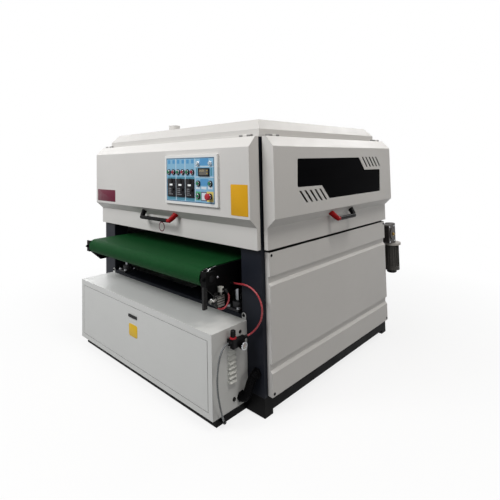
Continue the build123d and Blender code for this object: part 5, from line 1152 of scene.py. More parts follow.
@dataclass
class Studio:
    """Pale floor, soft lamps and the camera of the photograph."""

    lens: float = 28.53
    sensor: float = 36.0
    view_limit: float = 100.0
    shift: Pair = (0.0221, -0.2146)
    stand: Spot = (2344.6, -1565.5, 1381.4)
    yaw: float = 44.36
    pitch: float = 2.8
    roll: float = -1.18
    floor_half: float = 20.0
    floor_bounce: float = 0.22
    floor_pale: float = 0.9
    footprint: Pair = (0.80, 0.70)
    footprint_blur: float = 0.06
    white_run: Pair = (1.2, 3.0)
    white_share: Pair = (0.8, 1.0)
    ambient: float = 0.16
    lamp_target: Spot = (0.0, 0.0, 0.8)
    warm: Colour = (1.0, 0.965, 0.92)
    lamps: tuple[tuple[str, Spot, float, float, Colour], ...] = (
        ("key_lamp", (-1.6, -4.4, 5.3), 1.8, 126.0, WHITE),
        ("fill_lamp", (0.0, -4.7, 4.1), 1.8, 107.0, WHITE),
        ("top_lamp", (3.2, -0.6, 5.6), 1.4, 96.0, warm),
        ("side_lamp", (5.4, -0.4, 2.4), 1.8, 26.0, warm),
        ("back_lamp", (1.6, 4.8, 4.9), 2.0, 90.0, WHITE),
        ("left_lamp", (-5.8, 0.4, 2.8), 3.0, 76.0, WHITE),
    )

    def build(self) -> None:
        """Sets up camera, world, floor and lamps."""
        self.build_camera()
        self.build_world()
        self.build_floor()
        self.hang_lamps()
        bpy.context.scene.view_settings.view_transform = "Standard"

    def build_camera(self) -> None:
        """Stands the camera where the photograph was taken."""
        yaw, pitch, roll = (math.radians(a) for a in (self.yaw, self.pitch, self.roll))
        ahead = Vector((-math.sin(yaw) * math.cos(pitch), math.cos(yaw) * math.cos(pitch), math.sin(pitch)))
        right = ahead.cross(Vector(UP)).normalized()
        up = right.cross(ahead)
        across = right * math.cos(roll) + up * math.sin(roll)
        upward = up * math.cos(roll) - right * math.sin(roll)
        data = bpy.data.cameras.new("camera")
        data.sensor_width = self.sensor
        data.lens = self.lens
        data.shift_x, data.shift_y = self.shift
        data.clip_end = self.view_limit
        camera = bpy.data.objects.new("camera", data)
        camera.matrix_world = Matrix((across, upward, -ahead)).transposed().to_4x4()
        camera.location = spot(*self.stand) * MM
        bpy.context.scene.collection.objects.link(camera)
        bpy.context.scene.camera = camera

    def build_world(self) -> None:
        """Gives the world a white look to the camera and a quieter light for the machine."""
        world = bpy.data.worlds.new("studio")
        world.use_nodes = True
        sheet = NodeSheet(world.node_tree)
        strength = sheet.spread(sheet.looked_at(), 0.0, 1.0, self.ambient, 1.0)
        back = sheet.add("ShaderNodeBackground", {"Color": WHITE, "Strength": strength})
        sheet.feed(sheet.tree.nodes.new("ShaderNodeOutputWorld").inputs["Surface"], back)
        bpy.context.scene.world = world

    def build_floor(self) -> None:
        """Lays a pale floor that keeps a soft shadow, is painted dark under the machine and fades into the white."""
        half = self.floor_half
        mesh = bpy.data.meshes.new("floor")
        mesh.from_pydata([(-half, -half, 0), (half, -half, 0), (half, half, 0), (-half, half, 0)], [], [(0, 1, 2, 3)])
        floor = bpy.data.objects.new("floor", mesh)
        bpy.context.scene.collection.objects.link(floor)
        graph = Graph("studio_floor")
        # Painted shade: inside the machine's footprint the camera sees the dark bounce grey, with no glow.
        beyond = [graph.spread(graph.calc("ABSOLUTE", graph.along(axis)), edge, edge + self.footprint_blur)
                  for axis, edge in zip("XY", self.footprint)]
        outside = graph.times(graph.looked_at(), graph.calc("MAXIMUM", *beyond))
        pale = graph.tint(outside, (self.floor_bounce,) * 3, (self.floor_pale,) * 3)
        graph.surface(base_color=pale, roughness=0.9, specular_ior_level=0.0)
        away = graph.add("ShaderNodeVectorMath", {0: graph.place}, "Value", operation="LENGTH")
        share = graph.times(outside, graph.spread(away, *self.white_run, *self.white_share))
        glow = graph.add("ShaderNodeEmission", {"Color": WHITE}, "Emission")
        mixed = graph.add("ShaderNodeMixShader", {0: share, 1: graph.shader.outputs["BSDF"], 2: glow})
        graph.feed(graph.output.inputs["Surface"], mixed)
        mesh.materials.append(graph.material)

    def hang_lamps(self) -> None:
        """Hangs the square soft lamps, each turned to the machine."""
        for name, stand, size, power, colour in self.lamps:
            data = bpy.data.lights.new(name, "AREA")
            data.color = colour
            data.size = size
            data.energy = power
            lamp = bpy.data.objects.new(name, data)
            lamp.location = stand
            lamp.rotation_euler = (Vector(self.lamp_target) - Vector(stand)).to_track_quat("-Z", "Y").to_euler()
            bpy.context.scene.collection.objects.link(lamp)


@dataclass
class AirLines:
    """The three air tubes and the ribbed cable conduit.

    A tube has its name, the CAD node that it replaces, its finish and slot, what its ends move with, and its route in
    X, depth and height.
    """

    tube_radius: float = 5.0
    tube_crease: float = 60.0
    tubes: tuple[tuple[str, str, Finish, str, tuple[str, ...], tuple[Spot, ...]], ...] = (
        ("long_air_line", "long_air_tube", TUBE_RED, "red_tube", (FRAME_BODY, TABLE_BODY), (
            (811.62, 35.12, 431.87), (827.24, 50.74, 441.25), (868, 57, 484), (900, 57, 534), (912, 55, 596),
            (890, 54, 653), (842, 54, 687), (790, 54, 697), (744, 54, 693), (720, 54, 690), (696, 54, 690))),
        ("short_air_line", "short_air_loop", TUBE_RED, "red_tube", (TABLE_BODY,), (
            (732, -110, 606), (732, -97.75, 589.66), (732, -57.28, 583.84), (732, -24.56, 608.28),
            (732, -18.75, 648.66), (732, -31, 665))),
        ("supply_air_line", "supply_tube", TUBE_CLEAR, "clear_tube", (FRAME_BODY,), (
            (800, -95, 431.5), (800, -119, 431.5), (802, -156, 398), (804, -178, 335), (804, -184, 270),
            (804, -181, 208), (804, -168, 146), (788.75, -134.0, 55.29), (779.61, -119.82, 38.22))),
    )
    conduit_route: tuple[Spot, ...] = ((778, 24, 100), (807, 24, 100), (838, 40, 225), (838, 69, 225))
    conduit_radius: float = 24.0
    rib_depth: float = 4.0
    ribs: int = 20

    def build(self) -> None:
        """Lays the tubes and the conduit."""
        self.lay_tubes()
        mesh = conduit_ribs().bake(nurbs_route("conduit_route", self.conduit_route), CONDUIT_BLACK, ribs=self.ribs,
                                   radius=self.conduit_radius * MM, rib_depth=self.rib_depth * MM)
        place("ribbed_conduit", mesh, None, FRAME_BODY, "black_plastic", ("cable_conduit",))

    def lay_tubes(self) -> None:
        for name, node, finish, slot, bodies, route in self.tubes:
            path = points_along(f"{name}_route", route)
            shape = Shape()
            shape.tube([point / MM for point in path], self.tube_radius)
            rides_on = bodies[0] if len(bodies) == 1 else None
            piece = place(name, shape.mesh(name, self.tube_crease), finish, rides_on, slot, (node,))
            if rides_on is None:
                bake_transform(piece)
                LOG.info("%s bends between %s and %s", name, *bodies)


@dataclass
class ControlPanel:
    """Printed film, bezels, lamps, inverter keypads and meter on the face of the control box.

    Places on the face are measured across and up from its lower left corner, and places on an instrument from its
    middle. A print has its name, its finish, what it lies on, the radius of its corners, and the left, right, lower
    and upper edge of each area. A profile gives radius and height of each step.
    """

    film: float = 0.3
    margin: float = 2.0
    border: float = 3.4
    border_corner: float = 0.4
    prints: tuple[tuple[str, Finish, float, float, tuple[Edges, ...]], ...] = (
        ("film_teal_bands", FILM_TEAL, 0.0, 1.5, (
            (15, 101, 142, 157), (112, 198, 142, 157), (209, 292, 142, 157), (13, 100, 10, 28), (109, 196, 10, 28),
            (206, 290, 10, 28), (309, 320, 166, 212), (441, 456, 166, 212))),
        ("film_blue_labels", FILM_DEEP, 0.0, 1.5, (
            *((left, left + 25, 241, 265) for left in (18.5, 67.5, 116.5, 164.5, 212.5, 260.5)),
            (346, 424, 229, 270), (347, 423, 106, 147))),
        ("film_pale_lines", FILM_PALE, 0.0, 0.4, (
            (102, 106.2, 9, 272), (197, 201.4, 9, 272), (296, 300.7, 9, 272), (303, 470, 219, 223),
            (303, 470, 156, 160))),
        ("film_pale_cells", FILM_PALE, 0.0, 1.5, ((306, 344, 84, 98), (356, 402, 85, 100), (417, 456, 87, 102))),
        ("film_green_patch", FILM_GREEN, 0.0, 1.5, ((303, 350, 18, 70),)),
        ("film_yellow_patch", FILM_YELLOW, 0.0, 1.5, ((405, 465, 12, 73),)),
        ("film_dark_square", FILM_BORDER, 0.0, 1.5, ((353, 404, 15, 69),)),
        ("film_white_square", FILM_PALE, film, 1.5, ((358, 399, 20, 64),)),
    )
    cap_proud: float = 6.0
    button_ring: Profile = ((18.2, -1.4), (17.0, 0.4), (11.8, 0.5), (10.8, -0.6), (10.8, -3.0))
    lamp_ring: Profile = ((15.6, -1.4), (14.4, 0.4), (11.8, 0.5), (10.8, -0.6), (10.8, -3.0))
    bright_rim: Profile = ((14.4, 0.0), (14.4, 0.9), (13.8, 1.4), (12.7, 1.4), (12.2, 0.8), (12.2, 0.0))
    lens: Profile = ((12.3, 0.0), (12.3, 2.43), (11.316, 4.05), (8.61, 5.076), (0.0, 5.4))
    lens_crease: float = 60.0
    lamp_spots: tuple[Pair, ...] = ((329.0, 240.0), (441.0, 240.0))
    inverters: tuple[Pair, ...] = ((61.5, 87.0), (156.5, 87.0), (251.5, 87.0))
    inverter_size: Pair = (84.0, 116.0)
    inverter_shift: float = -2.5
    inverter_proud: float = 5.2
    screen_spot: Pair = (-4.0, 19.0)
    screen_size: Pair = (31.0, 11.5)
    screen_thick: float = 0.4
    screen_frame: Pair = (40.0, 19.0)
    screen_frame_proud: float = 1.0
    dome_spot: Pair = (0.0, 43.0)
    dome: Profile = ((17.0, 0.0), (17.0, 1.5), (14.0, 3.0), (0.0, 3.2))
    dial_spot: Pair = (22.0, -10.0)
    dial: Profile = ((9.5, 0.0), (9.5, 4.0), (8.2, 8.5), (7.2, 9.2), (0.0, 9.2))
    first_key: Pair = (-24.0, -6.0)
    key_pitch: Pair = (15.0, -12.0)
    key_places: tuple[tuple[int, int], ...] = ((0, 0), (0, 1), (0, 2), (0, 3), (1, 0), (1, 1), (1, 2), (1, 3), (2, 3))
    meter_spot: Pair = (383.0, 188.0)
    meter_size: Pair = (99.0, 49.0)
    meter_proud: float = 5.0
    meter_rim: Pair = (8.0, 7.0)
    meter_rim_proud: float = 2.4
    window_margin: Pair = (12.0, 10.0)
    window_thick: float = 0.5
    meter_keys: tuple[Pair, ...] = ((34.0, 8.5), (34.0, -8.5))
    meter_key_size: Pair = (7.5, 6.0)
    meter_key_proud: float = 1.6
    digits: int = 4
    first_digit: Pair = (-34.0, 8.5)
    digit_pitch: float = 12.5
    digit_bars: tuple[tuple[float, float, Spot], ...] = (
        (0.0, 6.0, RIGHT), (0.0, -6.0, RIGHT), (-3.2, 3.0, UP), (3.2, 3.0, UP), (-3.2, -3.0, UP), (3.2, -3.0, UP))
    body: str = COVER_BODY

    def build(self) -> None:
        """Lays the film, then dresses every instrument."""
        low, high = (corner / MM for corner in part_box("control_face"))
        self.left, self.face, self.foot = low
        self.width, self.height = high.x - low.x, high.z - low.z
        self.collar_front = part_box("start_button_1")[0].y / MM + self.cap_proud
        self.lay_film()
        self.set_bezels()
        self.dress_inverters()
        self.dress_meter()

    def on_face(self, start: Pair, y: float, step: Pair = (0.0, 0.0)) -> Vector:
        """Returns the point over a place on the face, and a step on from it, at this Y."""
        return Vector((self.left + start[0] + step[0], y, self.foot + start[1] + step[1]))

    def lay_film(self) -> None:
        """Lays the printed areas and the dark border line."""
        near, far, top, line = self.margin, self.width - self.margin, self.height - self.margin, self.border
        edges = ((near, near + line, near, top), (far - line, far, near, top), (near, far, near, near + line),
                 (near, far, top - line, top))
        rim = ("film_border_line", FILM_BORDER, self.film, self.border_corner, edges)
        for name, finish, lift, corner, areas in (*self.prints, rim):
            shape = Shape()
            for left, right, low, high in areas:
                middle = (self.left + (left + right) / 2, self.foot + (low + high) / 2)
                shape.plate(middle, (right - left, high - low), self.face - lift, self.film, corner, steps=3)
            shape.fit(name, finish, self.body, "panel_film")

    def ring(self, shape: Shape, line: Profile, base: Vector) -> None:
        """Adds a bezel ring from the face up to a little over the collar."""
        foot = (line[0][0], self.collar_front - self.face)
        shape.turned([foot, *line], base, FORWARD, ring=True)

    def set_bezels(self) -> None:
        """Sets a black ring and a bright rim round every button, and a bright ring and a lens on every lamp."""
        black, bright, lenses = Shape(), Shape(), Shape()
        for name in BUTTONS:
            low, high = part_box(name)
            base = (low + high) / 2 / MM
            base.y = self.collar_front
            self.ring(black, self.button_ring, base)
            bright.turned(self.bright_rim, base, FORWARD, ring=True)
        for lamp in self.lamp_spots:
            base = self.on_face(lamp, self.collar_front)
            self.ring(bright, self.lamp_ring, base)
            lenses.turned(self.lens, base, FORWARD, steps=36)
        black.fit("button_bezels", PLASTIC_BLACK, self.body, "black_plastic")
        bright.fit("lamp_bezels", BEZEL_CHROME, self.body, "chrome_bar")
        lenses.fit("lamp_lenses", LAMP_WHITE, self.body, "clear_tube", self.lens_crease)

    def dress_inverters(self) -> None:
        """Gives every inverter a raised frame, a display, a dial knob and a block of keys."""
        front = self.face - self.inverter_proud
        frames, screens, knobs, domes = Shape(), Shape(), Shape(), Shape()
        keys: list[Vector] = []
        for middle in self.inverters:
            case = self.on_face(middle, front, (self.inverter_shift, 0.0))
            frames.plate(case.xz, self.inverter_size, self.face, self.inverter_proud, corner=4.0, edge=0.5)
            screen = self.on_face(middle, front, self.screen_spot).xz
            frames.plate(screen, self.screen_frame, front, self.screen_frame_proud, corner=3.0, edge=0.4)
            screens.plate(screen, self.screen_size, front - self.screen_frame_proud, self.screen_thick, corner=1.5)
            domes.turned(self.dome, self.on_face(middle, front, self.dome_spot), FORWARD, steps=36)
            knobs.turned(self.dial, self.on_face(middle, front, self.dial_spot), FORWARD, steps=28)
            first = self.on_face(middle, front, self.first_key)
            keys += [first + Vector((self.key_pitch[0] * i, 0.0, self.key_pitch[1] * j)) for i, j in self.key_places]
        frames.fit("inverter_frames", INSTRUMENT_BLACK, self.body, "instrument_black")
        screens.fit("inverter_screens", DISPLAY_WHITE, self.body, "clear_tube")
        knobs.fit("inverter_knobs", PLASTIC_BLACK, self.body, "black_plastic")
        domes.fit("inverter_domes", PLASTIC_BLACK, self.body, "black_plastic")
        BLOCKS.set_out("inverter_keys", KEY_GREY, self.body, "zinc_steel", keys, FORWARD, RIGHT,
                       width=9.5, length=6.0, height=1.6)

    def dress_meter(self) -> None:
        """Gives the meter a frame, a dim window with lit digits of zero, and two small keys."""
        front = self.face - self.meter_proud
        glass = front - self.window_thick
        x, z = self.on_face(self.meter_spot, front).xz
        wide, tall = self.meter_size
        beside, over = self.meter_rim
        margin, head = self.window_margin
        rim, window, keys = Shape(), Shape(), Shape()
        for side in SIDES:
            for middle, size in (((x + side * (wide - beside) / 2, z), (beside, tall)),
                                 ((x, z + side * (tall - over) / 2), (wide, over))):
                rim.plate(middle, size, front, self.meter_rim_proud, corner=1.2, edge=0.8, steps=3)
        window.plate((x, z), (wide - margin, tall - head), front, self.window_thick, corner=1.0, steps=3)
        for key in self.meter_keys:
            middle = self.on_face(self.meter_spot, glass, key).xz
            keys.plate(middle, self.meter_key_size, glass, self.meter_key_proud, corner=1.6, edge=0.5, steps=4)
        rim.fit("meter_rim", INSTRUMENT_BLACK, self.body, "instrument_black")
        window.fit("meter_window", DISPLAY_DIM, self.body, "clear_tube")
        keys.fit("meter_keys", YELLOW_CAP, self.body, "yellow_plastic")
        first = self.on_face(self.meter_spot, glass, self.first_digit)
        points = [first + Vector((self.digit_pitch * i + dx, 0.0, dz))
                  for i in range(self.digits) for dx, dz, _ in self.digit_bars]
        bar_sides = [side for _, _, side in self.digit_bars] * self.digits
        BLOCKS.set_out("meter_digits", DISPLAY_LIT, self.body, "clear_tube", points, FORWARD, bar_sides,
                       width=4.6, length=1.1, height=0.5)


@dataclass
class BarePlates:
    """Bare plates on the front cover, its skirt and the cabinet door.

    A plate has its name, the node that it lies on, its finish, the radius of its corners and its left, right, lower
    and upper edge. A profile gives radius and height of each step.
    """

    plates: tuple[tuple[str, str, Finish, float, Edges], ...] = (
        ("notice_plate", "front_cover", PLATE_ORANGE, 4.0, (741.0, 873.0, 1084.5, 1257.5)),
        ("name_strip", "front_cover", PLATE_CRIMSON, 3.0, (-860.0, -568.0, 1086.0, 1179.0)),
        ("door_plate", "cabinet_door", PLATE_YELLOW, 14.0, (-57.0, 46.0, 261.0, 340.0)))
    thick: float = 0.8
    rolled_edge: float = 0.3
    disc_spot: Spot = (-13.0, 54.0, 941.0)
    disc_rim: Profile = ((34.0, 0.0), (34.0, 0.9), (33.0, 1.4), (27.8, 1.4), (27.4, 0.6), (27.4, 0.0))
    disc: Profile = ((27.8, 0.0), (27.8, 0.7), (0.0, 0.7))
    disc_sides: int = 64

    def build(self) -> None:
        """Sets the plates."""
        for name, node, finish, corner, (left, right, low, high) in self.plates:
            shape = Shape()
            shape.plate(((left + right) / 2, (low + high) / 2), (right - left, high - low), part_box(node)[0].y / MM,
                        self.thick, corner, self.rolled_edge)
            shape.fit(name, finish, f"{node}_body", "panel_film")
        rim, disc = Shape(), Shape()
        rim.turned(self.disc_rim, spot(*self.disc_spot), FORWARD, self.disc_sides, ring=True)
        rim.fit("skirt_disc_rim", PLATE_CRIMSON, COVER_BODY, "panel_film")
        disc.turned(self.disc, spot(*self.disc_spot), FORWARD, self.disc_sides)
        disc.fit("skirt_disc", PLATE_PALE, COVER_BODY, "panel_film")


@dataclass
class BrushBay:
    """Abrasive fingers on the strips of both brush rollers, and the rails that hold them."""

    strips: int = 16
    root: float = 109.0
    rail_top: float = 122.0
    rail_half: float = 4.0
    rail_taper: float = 0.8
    tip: float = 159.0
    half_length: float = 645.0
    finger_root: float = 118.0
    finger_width: float = 5.6
    finger_thick: float = 1.6
    finger_lean: float = 0.05
    pitch: float = 6.0
    rows: Pair = (-2.0, 2.0)
    axes: tuple[Pair, ...] = ((550.0, 1040.0), (1100.0, 1040.0))

    def build(self) -> None:
        """Sets rails and fingers round both drums."""
        fingers = brush_fingers()
        count = int(2 * self.half_length / self.pitch)
        wide, narrow = self.rail_half, self.rail_half * self.rail_taper
        corners = ((self.root, -wide), (self.root, wide), (self.rail_top, narrow), (self.rail_top, -narrow))
        for number, axis in enumerate(self.axes, 1):
            centre, body = spot(0.0, *axis), f"brush_{number}_body"
            rails, points, aims = Shape(), [], []
            for cosine, sine in circle(self.strips):
                out, across = Vector((0.0, cosine, sine)), Vector((0.0, -sine, cosine))
                rails.closed_run([[rails.bm.verts.new(centre + out * r + across * a + Vector((x, 0.0, 0.0)))
                                   for r, a in corners] for x in (-self.half_length, self.half_length)])
                root = centre + out * self.finger_root
                for k in range(count):
                    x = -self.half_length + (k + 0.5) * self.pitch
                    points.append(root + across * self.rows[k % len(self.rows)] + Vector((x, 0.0, 0.0)))
                aims += [out] * count
            rails.fit(f"brush_rails_{number}", TURNED_STEEL, body, "machined_steel")
            fingers.set_out(f"brush_fingers_{number}", BRUSH_TAN, body, "brush_bristle", points, aims, RIGHT,
                            (f"brush_strips_{number}",), {"lean": self.finger_lean, "seed": number},
                            width=self.finger_width, thickness=self.finger_thick, length=self.tip - self.finger_root)


@dataclass
class AirService:
    """Gauge dial, knob ribs, tube collars, conduit glands and grommet around the cabinet's right side.

    A profile gives radius and height of each step.
    """

    gauge: Spot = (828.0, -4.0, 395.0)
    gauge_rim: Profile = ((20.8, -6.0), (20.8, 1.2), (19.9, 2.2), (17.9, 2.2), (17.4, 1.2), (17.4, 0.1))
    dial: Profile = ((17.6, 0.0), (17.6, 0.4), (0.0, 0.4))
    dial_start: float = -45.0
    dial_sweep: float = 270.0
    ticks: int = 21
    tick_circle: float = 14.6
    tick_lift: float = 0.4
    needle_at: float = 0.55
    needle_reach: float = 12.5
    needle_lift: float = 0.9
    needle_radius: float = 0.55
    hub: Profile = ((2.2, 0.3), (2.2, 1.4), (1.4, 1.8), (0.0, 1.8))
    numbers: Sequence[int] = range(0, 11, 2)
    number_circle: float = 10.4
    number_lift: float = 0.5
    number_height: float = 4.4
    number_thick: float = 0.12
    knob: Spot = (800.0, -61.0, 471.0)
    knob_radius: float = 13.0
    knob_ribs: int = 22
    collar: Profile = ((6.9, -0.4), (6.9, 2.4), (6.1, 3.6), (5.3, 3.6), (5.05, -0.4))
    collars: tuple[tuple[str, str, tuple[tuple[Spot, Spot], ...]], ...] = (
        ("tube_collars", FRAME_BODY, (
            ((811.62, 35.12, 431.87), (1.0, 1.0, 0.6)), ((800, -95, 431.5), FORWARD),
            ((779.61, -119.82, 38.22), (0.38, -0.59, 0.71)))),
        ("table_tube_collars", TABLE_BODY, (
            ((696, 54, 690), RIGHT), ((732, -110, 606), (0.0, 0.6, -0.8)), ((732, -31, 665), (0.0, 0.6, -0.8)))))
    glands: tuple[tuple[Spot, Spot], ...] = (((764, 24, 100), RIGHT), ((838, 83, 225), FORWARD))
    gland_nut: Profile = ((30.0, 0.0), (30.0, 6.4), (28.6, 7.4), (19.0, 7.4), (19.0, 0.0))
    gland_ring: Profile = ((25.6, 7.2), (25.6, 11.0), (24.2, 14.4), (19.5, 14.4), (19.0, 7.2))
    grommet_spot: Spot = (764.0, -28.0, 104.0)
    grommet: Profile = ((11.0, 0.0), (11.0, 3.4), (9.4, 5.8), (5.4, 6.0), (4.4, 4.6), (0.0, 4.2))
    plug_spot: Spot = (764.0, 29.0, 443.0)
    plug: Profile = ((10.0, 0.0), (10.0, 1.6), (8.6, 2.6), (0.0, 2.8))
    rubber_crease: float = 50.0

    def build(self) -> None:
        """Dresses the gauge, the knob and the fittings."""
        self.dress_gauge()
        self.rib_knob()
        self.set_collars()
        self.set_glands()

    def on_dial(self, share: float, radius: float, lift: float) -> Vector:
        """Finds a place on the dial.

        Args:
            share: Share of the scale.
            radius: Distance from the middle.
            lift: Height over the dial's back.

        Returns:
            The point.
        """
        angle = math.radians(self.dial_start + self.dial_sweep * (1.0 - share))
        x, depth, z = self.gauge
        return spot(x + lift, depth + radius * math.cos(angle), z + radius * math.sin(angle))

    def dress_gauge(self) -> None:
        """Sets a bright rim, a white dial with ticks and numbers, and a needle."""
        centre = spot(*self.gauge)
        rim, dial, needle = Shape(), Shape(), Shape()
        rim.turned(self.gauge_rim, centre, RIGHT, steps=48, ring=True)
        dial.turned(self.dial, centre, RIGHT, steps=48)
        needle.tube([self.on_dial(self.needle_at, reach, self.needle_lift) for reach in (0.0, self.needle_reach)],
                    self.needle_radius, sides=8)
        needle.turned(self.hub, centre, RIGHT, steps=20)
        rim.fit("gauge_rim", BEZEL_CHROME, FRAME_BODY, "chrome_bar")
        dial.fit("gauge_dial", DIAL_WHITE, FRAME_BODY, "panel_film")
        needle.fit("gauge_needle", RED_CAP, FRAME_BODY, "red_plastic")
        points = [self.on_dial(i / (self.ticks - 1), self.tick_circle, self.tick_lift) for i in range(self.ticks)]
        spokes = [(point - centre) * Vector((0.0, 1.0, 1.0)) for point in points]
        BLOCKS.set_out("gauge_ticks", PLASTIC_BLACK, FRAME_BODY, "black_plastic", points, RIGHT, spokes,
                       width=3.0, length=0.7, height=0.3)
        self.number_dial()

    def number_dial(self) -> None:
        """Sets plain numbers round the dial."""
        quarter = math.radians(90)
        turn = Matrix.Rotation(quarter, 4, "Z") @ Matrix.Rotation(quarter, 4, "X")
        joined = bmesh.new()
        for number in self.numbers:
            words = bpy.data.curves.new(f"dial_number_{number}", "FONT")
            words.body = str(number)
            words.size = self.number_height * MM
            words.extrude = self.number_thick * MM
            words.align_x, words.align_y = "CENTER", "CENTER"
            mesh = evaluated_mesh(bpy.data.objects.new(words.name, words))
            middle = self.on_dial(number / self.numbers[-1], self.number_circle, self.number_lift)
            mesh.transform(Matrix.Translation(middle * MM) @ turn)
            joined.from_mesh(mesh)
        result = bpy.data.meshes.new("gauge_numbers")
        joined.to_mesh(result)
        joined.free()
        place("gauge_numbers", result, PLASTIC_BLACK, FRAME_BODY, "black_plastic")

    def rib_knob(self) -> None:
        """Sets grip ribs round the regulator's knob."""
        aims = [Vector((cosine, sine, 0.0)) for cosine, sine in circle(self.knob_ribs)]
        points = [spot(*self.knob) + aim * self.knob_radius for aim in aims]
        BLOCKS.set_out("knob_ribs", PLASTIC_BLACK, "regulator_knob_body", "black_plastic", points, aims, UP,
                       width=30.0, length=1.9, height=1.1)

    def set_collars(self) -> None:
        """Sets the release collars of the push-in fittings."""
        for name, body, mouths in self.collars:
            shape = Shape()
            for mouth, aim in mouths:
                shape.turned(self.collar, spot(*mouth), aim, steps=24, ring=True)
            shape.fit(name, PLASTIC_BLACK, body, "black_plastic")

    def set_glands(self) -> None:
        """Sets a hexagon nut and a domed ring at each end of the conduit, and the rubber grommet and plug."""
        ends, rubber = Shape(), Shape()
        for root, aim in self.glands:
            ends.turned(self.gland_nut, spot(*root), aim, steps=6, ring=True)
            ends.turned(self.gland_ring, spot(*root), aim, ring=True)
        ends.fit("conduit_glands", CONDUIT_BLACK, FRAME_BODY, "black_plastic")
        rubber.turned(self.grommet, spot(*self.grommet_spot), RIGHT, steps=36)
        rubber.turned(self.plug, spot(*self.plug_spot), RIGHT, steps=36)
        rubber.fit("cable_grommet", RUBBER_BLACK, FRAME_BODY, "black_rubber", self.rubber_crease)


@dataclass
class TableTrim:
    """Painted-highlight nose strips, side-plate bolts, bearing caps, gearbox screws and bolt on the feed table."""

    nose_line: tuple[Pair, ...] = ((-138.0, 778.0), (-112.0, 789.5), (-86.0, 800.5), (-54.0, 802.0))
    nose_x: float = 666.0
    nose_radius: float = 1.8
    nose_crease: float = 60.0
    plate_face: float = 674.0
    plate_bolt: Pair = (-50.0, 741.0)
    block_face: float = 704.0
    idler_axis: Pair = (-122.0, 754.0)
    cap: Profile = ((19.0, 0.0), (19.0, 2.0), (17.4, 3.4), (13.0, 4.0), (0.0, 4.4))
    cap_crease: float = 50.0
    case_face: float = 902.0
    case_screws: tuple[Pair, ...] = ((1679.0, 692.0), (1679.0, 816.0), (1765.0, 692.0), (1765.0, 816.0))
    shaft_end: Spot = (910.0, 1727.0, 754.0)

    def build(self) -> None:
        """Sets the strips, bolts, caps and screws."""
        strips, caps = Shape(), Shape()
        for side in SIDES:
            route = [(side * self.nose_x, *point) for point in self.nose_line]
            path = points_along(f"nose_line_{side:.0f}", route)
            # Painted highlight: a thin chrome tube along each side plate's nose stands in for the bright line on its
            # edge.
            strips.tube([point / MM for point in path], self.nose_radius, sides=12)
            caps.turned(self.cap, spot(side * self.block_face, *self.idler_axis), (side, 0.0, 0.0))
        strips.fit("nose_strips", CHROME_BAR, TABLE_BODY, "chrome_bar", self.nose_crease)
        bolts = [spot(side * self.plate_face, *self.plate_bolt) for side in SIDES]
        HEX_BOLTS.set_out("plate_bolts", ZINC_PLATE, TABLE_BODY, "zinc_steel", bolts, outward(bolts), UP,
                          head_radius=5.0, head_height=4.0, washer_radius=6.4, washer_thickness=1.0)
        caps.fit("bearing_caps", PLASTIC_BLACK, TABLE_BODY, "black_plastic", self.cap_crease)
        screws = [spot(self.case_face, *screw) for screw in self.case_screws]
        CAP_SCREWS.set_out("gear_case_screws", ZINC_PLATE, TABLE_BODY, "zinc_steel", screws, RIGHT, BACKWARD,
                           head_radius=6.0, head_height=5.0)
        HEX_BOLTS.set_out("drive_shaft_bolt", YELLOW_ZINC, "drive_roller_body", "zinc_steel", [spot(*self.shaft_end)],
                          RIGHT, BACKWARD, head_radius=9.0, head_height=8.0, washer_radius=15.0, washer_thickness=3.0)


@dataclass
class SideBlocks:
    """Piece of plain blocks that stand on both sides of the machine.

    A block is given by its inner and outer face, its depths and its heights.
    """

    name: str
    finish: Finish
    slot: str
    edge: float
    faces: tuple[Pair, ...]
    depths: tuple[Pair, ...]
    heights: tuple[Pair, ...]

    def build(self) -> None:
        """Sets each block on both sides."""
        shape = Shape()
        for faces, (near, far), (foot, top) in zip(self.faces, self.depths, self.heights):
            for side in SIDES:
                left, right = sorted(side * x for x in faces)
                shape.block(spot(left, near, foot), spot(right, far, top), self.edge)
        shape.fit(self.name, self.finish, FRAME_BODY, self.slot)


# Painted shade: black strips fill the gaps above and below the lower panels, so that the gaps show dark.
PANEL_SHADE_STRIPS = SideBlocks("panel_seals", RUBBER_BLACK, "black_rubber", edge=1.0, faces=((889.0, 920.4), (884.0, 899.0)),
                         depths=((113.0, 1537.0),) * 2, heights=((881.0, 884.0), (105.2, 110.9)))
POST_CAPS = SideBlocks("post_caps", COVER_WHITE, "cover_paint", edge=1.2, faces=((738.3, 880.7),) * 2,
                       depths=((89.3, 196.7), (1453.3, 1560.7)), heights=((1532.0, 1536.7),) * 2)


